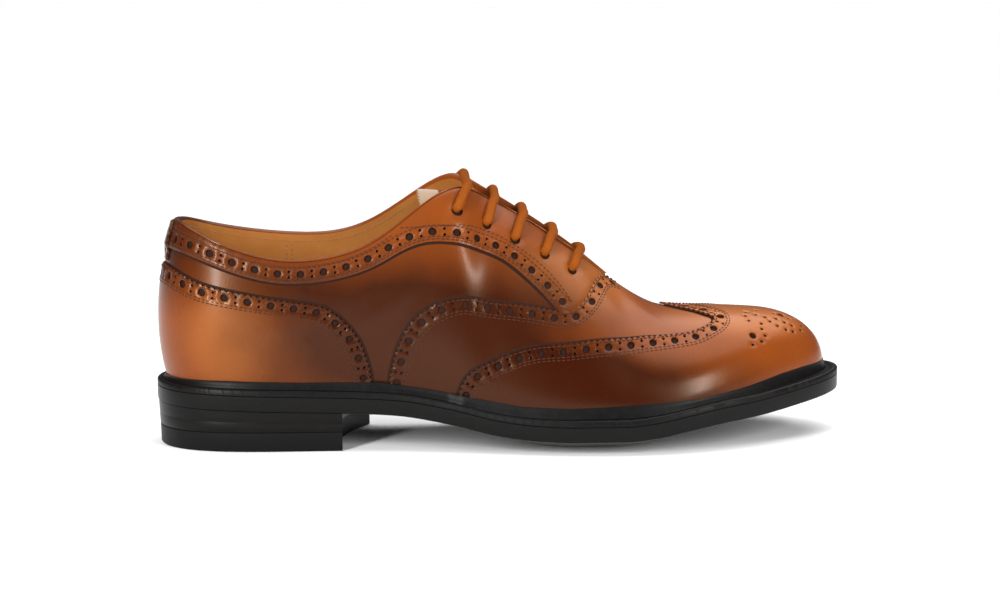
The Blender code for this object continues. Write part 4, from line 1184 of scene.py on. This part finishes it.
def makeHeel():
    count = len(heelLoop(0.0, 0.0))
    joint = sole["topPiece"]
    loops = [heelLoop(0.0016, 0.0002), heelLoop(0.0013, 0.0006), heelLoop(0.0010, joint - 0.0003),
             heelLoop(0.0013, joint)]
    faces = gridFaces(len(loops), count, True) + [tuple(range(count))]
    newPiece("topPiece", np.concatenate(loops), faces, heelRubber, ("top_piece",),
             sharp=35)
    loops = [heelLoop(0.0013, joint)]
    for share in (0.03, 0.25, 0.48, 0.50, 0.52, 0.75, 0.97, 1.0):
        groove = 0.00007 if share in (0.50, 0.03) else 0.0
        inset = 0.0009 - 0.0005 * share + groove
        loops.append(heelLoop(inset, lambda x, s=share: joint + (treadHeight(x) - joint) * s))
    faces = gridFaces(len(loops), count, True)
    newPiece("heelStack", np.concatenate(loops), faces, heelLeather, ("heel_stack",),
             sharp=50)


makeHeel()


def makeSock():
    rowAngles = np.linspace(0, math.pi, 120)
    shares = np.linspace(-1, 1, 25)
    rows = []
    for a in rowAngles:
        inset = float(ledgeWidth(a)) + upper["wall"] + 0.0006
        left, right = insetEdge(-a, inset), insetEdge(a, inset)
        place = left + (right - left) * ((shares + 1) / 2)[:, None]
        lift = 0.0012 * np.abs(shares) ** 4
        height = deckHeight(place[:, 0]) + sole["clearance"] + sole["insole"] + lift
        rows.append(np.column_stack([place, height]) + shoeShift)
    newPiece("sock", np.concatenate(rows), gridFaces(len(rows), len(shares)), sockLeather,
             ("insole",), merge=0.000005)


makeSock()
print("sole made")

# Tongue: rows of turn and depth under the wall, with a free end past the top line
tongueRises = (0.66, 0.75, 0.83, 0.90)
tongueRows = (
    (0.460, 0.0076), (0.482, 0.0074), (0.508, 0.0073), (0.535, 0.0072), (0.561, 0.0071),
    (0.582, 0.0052), (0.600, 0.0034), (0.615, 0.0028), (0.630, 0.0027),
)
tongueTop = ((-0.0130, 0.0012), (-0.0087, 0.0010), (-0.0043, 0.0006))
tongueMesh = {
    "across": 85, "along": 90, "thick": 0.0016, "tooth": 0.0009, "pale": 0.0090,
    "round": 0.0060, "narrow": 0.22, "droop": 0.0018,
}


def tongueRow(turn, depth):
    outer = [onWall(np.array([-turn]), np.array([r]), -depth)[0] for r in tongueRises]
    inner = [onWall(np.array([turn]), np.array([r]), -depth)[0] for r in tongueRises]
    top = [onWall(np.array([side * turn]), np.array([1.0]), -depth)[0] for side in (-1, 1)]
    return np.array(outer + [(top[0] + top[1]) / 2] + inner[::-1])


def makeTongue():
    rows = []
    first = tongueRow(*tongueRows[0])
    for shift, rise in tongueTop:
        row = first.copy()
        aside = ((np.arange(9) - 4) / 4) ** 2
        share = shift / tongueTop[0][0]
        row[:, 0] += shift + tongueMesh["round"] * aside * share
        row[:, 1] += (row[4, 1] - row[:, 1]) * tongueMesh["narrow"] * share
        row[:, 2] += rise - tongueMesh["droop"] * aside * share
        rows.append(row)
    rows += [tongueRow(*row) for row in tongueRows]
    grid = np.array(rows)
    across, along = tongueMesh["across"], tongueMesh["along"]
    fineAcross = np.linspace(0, 8, across)
    grid = np.stack([[smoothCurve(range(9), row[:, k])(fineAcross) for k in range(3)] for row in grid])
    grid = grid.transpose(0, 2, 1)
    keys = np.concatenate([[0], np.cumsum(np.linalg.norm(np.diff(grid[:, across // 2], axis=0), axis=1))])
    fineAlong = np.linspace(0, keys[-1], along)
    dense = np.empty((along, across, 3))
    for j in range(across):
        for k in range(3):
            dense[:, j, k] = smoothCurve(keys, grid[:, j, k])(fineAlong)
    dense[0, :, 0] -= np.where(np.arange(across) % 2 == 0, tongueMesh["tooth"], 0.0)
    out = np.cross(np.gradient(dense, axis=1), np.gradient(dense, axis=0))
    out /= np.linalg.norm(out, axis=2)[:, :, None]
    out *= np.sign(out[along // 2, across // 2, 2])
    under = dense - out * tongueMesh["thick"]
    vertices = np.concatenate([dense.reshape(-1, 3), under.reshape(-1, 3)])
    total = along * across
    faces = gridFaces(along, across) + gridFaces(along, across, start=total)
    for j in range(across - 1):
        faces.append((j, j + 1, total + j + 1, total + j))
    for i in range(along - 1):
        for j in (0, across - 1):
            a, b = i * across + j, (i + 1) * across + j
            faces.append((a, b, total + b, total + a))
    flap = newPiece("tongueFlap", vertices, faces, tongueLeather, ("tongue",), sharp=50)
    flap.data.materials.append(tongueFelt)
    limit = dense[0, :, 0].min() + tongueMesh["pale"]
    for face in flap.data.polygons:
        face.material_index = int(face.center.x < limit)


makeTongue()

# Lace: the CAD's route through the eyelets, with its bars leaning forward as in the photograph
lace = {
    "radius": 0.0021, "climb": (-0.0036, -0.0004, 0.0022), "shares": (0.13, 0.40, 0.70, 0.97),
    "over": 0.0030, "under": 0.0050, "crest": 0.0002, "run": (0.14, 0.38, 0.62, 0.86),
    "raise": 0.018, "lean": 0.0085, "steps": 620, "sides": 14,
    "back": ((0.10, 0.060), (0.30, 0.075), (0.50, 0.075), (0.70, 0.075), (0.88, 0.070), (1.00, 0.035)),
}


def one(turn, rise, offset):
    return onWall(np.array([turn]), np.array([rise]), offset)[0]


def laceRoute():
    points = []
    for i, (turn, rise) in enumerate(eyelets):
        rise += lace["raise"]
        halves = []
        for side in (-1, 1):
            climb = [one(side * turn, rise, h) for h in lace["climb"]]
            top = [
                one(side * (turn + lace["lean"] * s), rise + (1 - rise) * s, lace["over"])
                for s in lace["shares"]
            ]
            halves.append(climb + top)
        crest = (halves[0][-1] + halves[1][-1]) / 2
        crest[2] += lace["crest"]
        bar = halves[0] + [crest] + halves[1][::-1]
        points += bar if i % 2 == 0 else bar[::-1]
        if i + 1 < len(eyelets):
            side = 1 if i % 2 == 0 else -1
            after = (eyelets[i + 1][0], eyelets[i + 1][1] + lace["raise"])
            for share in lace["run"]:
                place = [a + (b - a) * share for a, b in zip((turn, rise), after)]
                points.append(one(side * place[0], place[1], -lace["under"]))
    # The last end goes back under the inner facing to the top eyelet, below the crossing runs
    for share, aside in lace["back"]:
        turn, rise = [a + (b - a) * share for a, b in zip(eyelets[-1], eyelets[0])]
        points.append(one(turn, rise - aside, -lace["under"]))
    return np.array(points)


def makeLace():
    points = laceRoute()
    key = np.concatenate([[0], np.cumsum(np.linalg.norm(np.diff(points, axis=0), axis=1) ** 0.5)])
    fine = np.linspace(0, key[-1], lace["steps"])
    path = np.column_stack([smoothCurve(key, points[:, k])(fine) for k in range(3)])
    along = np.gradient(path, axis=0)
    along /= np.linalg.norm(along, axis=1)[:, None]
    side = np.cross(along[0], (0, 0, 1))
    sides = lace["sides"]
    travelled = np.concatenate([[0], np.cumsum(np.linalg.norm(np.diff(path, axis=0), axis=1))])
    vertices, faces = [], []
    for i, (centre, ahead) in enumerate(zip(path, along)):
        side = side - ahead * side.dot(ahead)
        side /= np.linalg.norm(side)
        lift = np.cross(ahead, side)
        for k in range(sides):
            angle = 2 * math.pi * k / sides
            vertices.append(centre + (side * math.cos(angle) + lift * math.sin(angle)) * lace["radius"])
    faces = gridFaces(len(path), sides, True)
    faces += [tuple(range(sides)), tuple(range((len(path) - 1) * sides, len(path) * sides))]
    print("lace length in mm:", round(1000 * float(travelled[-1])))
    piece = newPiece("laceCord", vertices, faces, cordCotton, ("lace",), sharp=70)
    layer = piece.data.uv_layers.new(name="UVMap")
    for polygon in piece.data.polygons:
        places = [piece.data.loops[i].vertex_index for i in polygon.loop_indices]
        columns = [v % sides for v in places]
        wraps = len(places) == 4 and max(columns) - min(columns) > 1
        for loop, v, c in zip(polygon.loop_indices, places, columns):
            share = (c + sides if wraps and c == 0 else c) / sides
            layer.data[loop].uv = (share, travelled[v // sides])


makeLace()
print("tongue and lace made")

# Floor and light
bpy.ops.mesh.primitive_plane_add(size=300, location=(0, 0, 0))
floor = bpy.context.object
floor.name = "floor"
floorPaper, floorTree, floorShader = newMaterial("floorPaper")
floorNoise = addNode(floorTree, "ShaderNodeTexNoise", values={"Scale": 2.0})
floorColour = mixColour(floorTree, floorNoise.outputs["Fac"], (0.91, 0.91, 0.91), (0.94, 0.94, 0.94))
floorTree.links.new(floorColour, floorShader.inputs["Base Color"])
floorShader.inputs["Roughness"].default_value = 0.6
floorShader.inputs["Specular IOR Level"].default_value = 0.0
floor.data.materials.append(floorPaper)

lights = (
    ("leftStrip", (-0.62, -0.85, 0.42), (0.13, 0.60), 14.0),
    ("rightStrip", (0.62, -0.70, 0.36), (0.12, 0.50), 7.0),
)
for name, place, size, power in lights:
    bpy.ops.object.light_add(type="AREA", location=place)
    light = bpy.context.object
    light.name = name
    light.data.shape = "RECTANGLE"
    light.data.size, light.data.size_y = size
    light.data.energy = power
    aim = Vector((0.0, 0.0, 0.045)) - Vector(place)
    light.rotation_euler = aim.to_track_quat("-Z", "Y").to_euler()
bpy.ops.object.light_add(type="SUN", location=(0, 0, 2), rotation=(math.radians(-12), math.radians(8), 0))
sun = bpy.context.object
sun.name = "softSun"
sun.data.energy = 3.15
sun.data.angle = math.radians(70)
world = bpy.data.worlds.new("studio")
bpy.context.scene.world = world
world.use_nodes = True
sky = world.node_tree
look = addNode(sky, "ShaderNodeTexCoord").outputs["Generated"]
level = mathNode(sky, "ABSOLUTE", addNode(sky, "ShaderNodeSeparateXYZ", links={"Vector": look}).outputs["Z"])
band = addNode(
    sky, "ShaderNodeMapRange", links={"Value": level},
    values={"From Min": 0.012, "From Max": 0.035, "To Min": 1.0, "To Max": 0.13},
)
sky.links.new(band.outputs["Result"], sky.nodes["Background"].inputs["Strength"])
sky.nodes["Background"].inputs["Color"].default_value = (1.0, 0.998, 0.995, 1.0)
bpy.context.scene.view_settings.view_transform = "Standard"
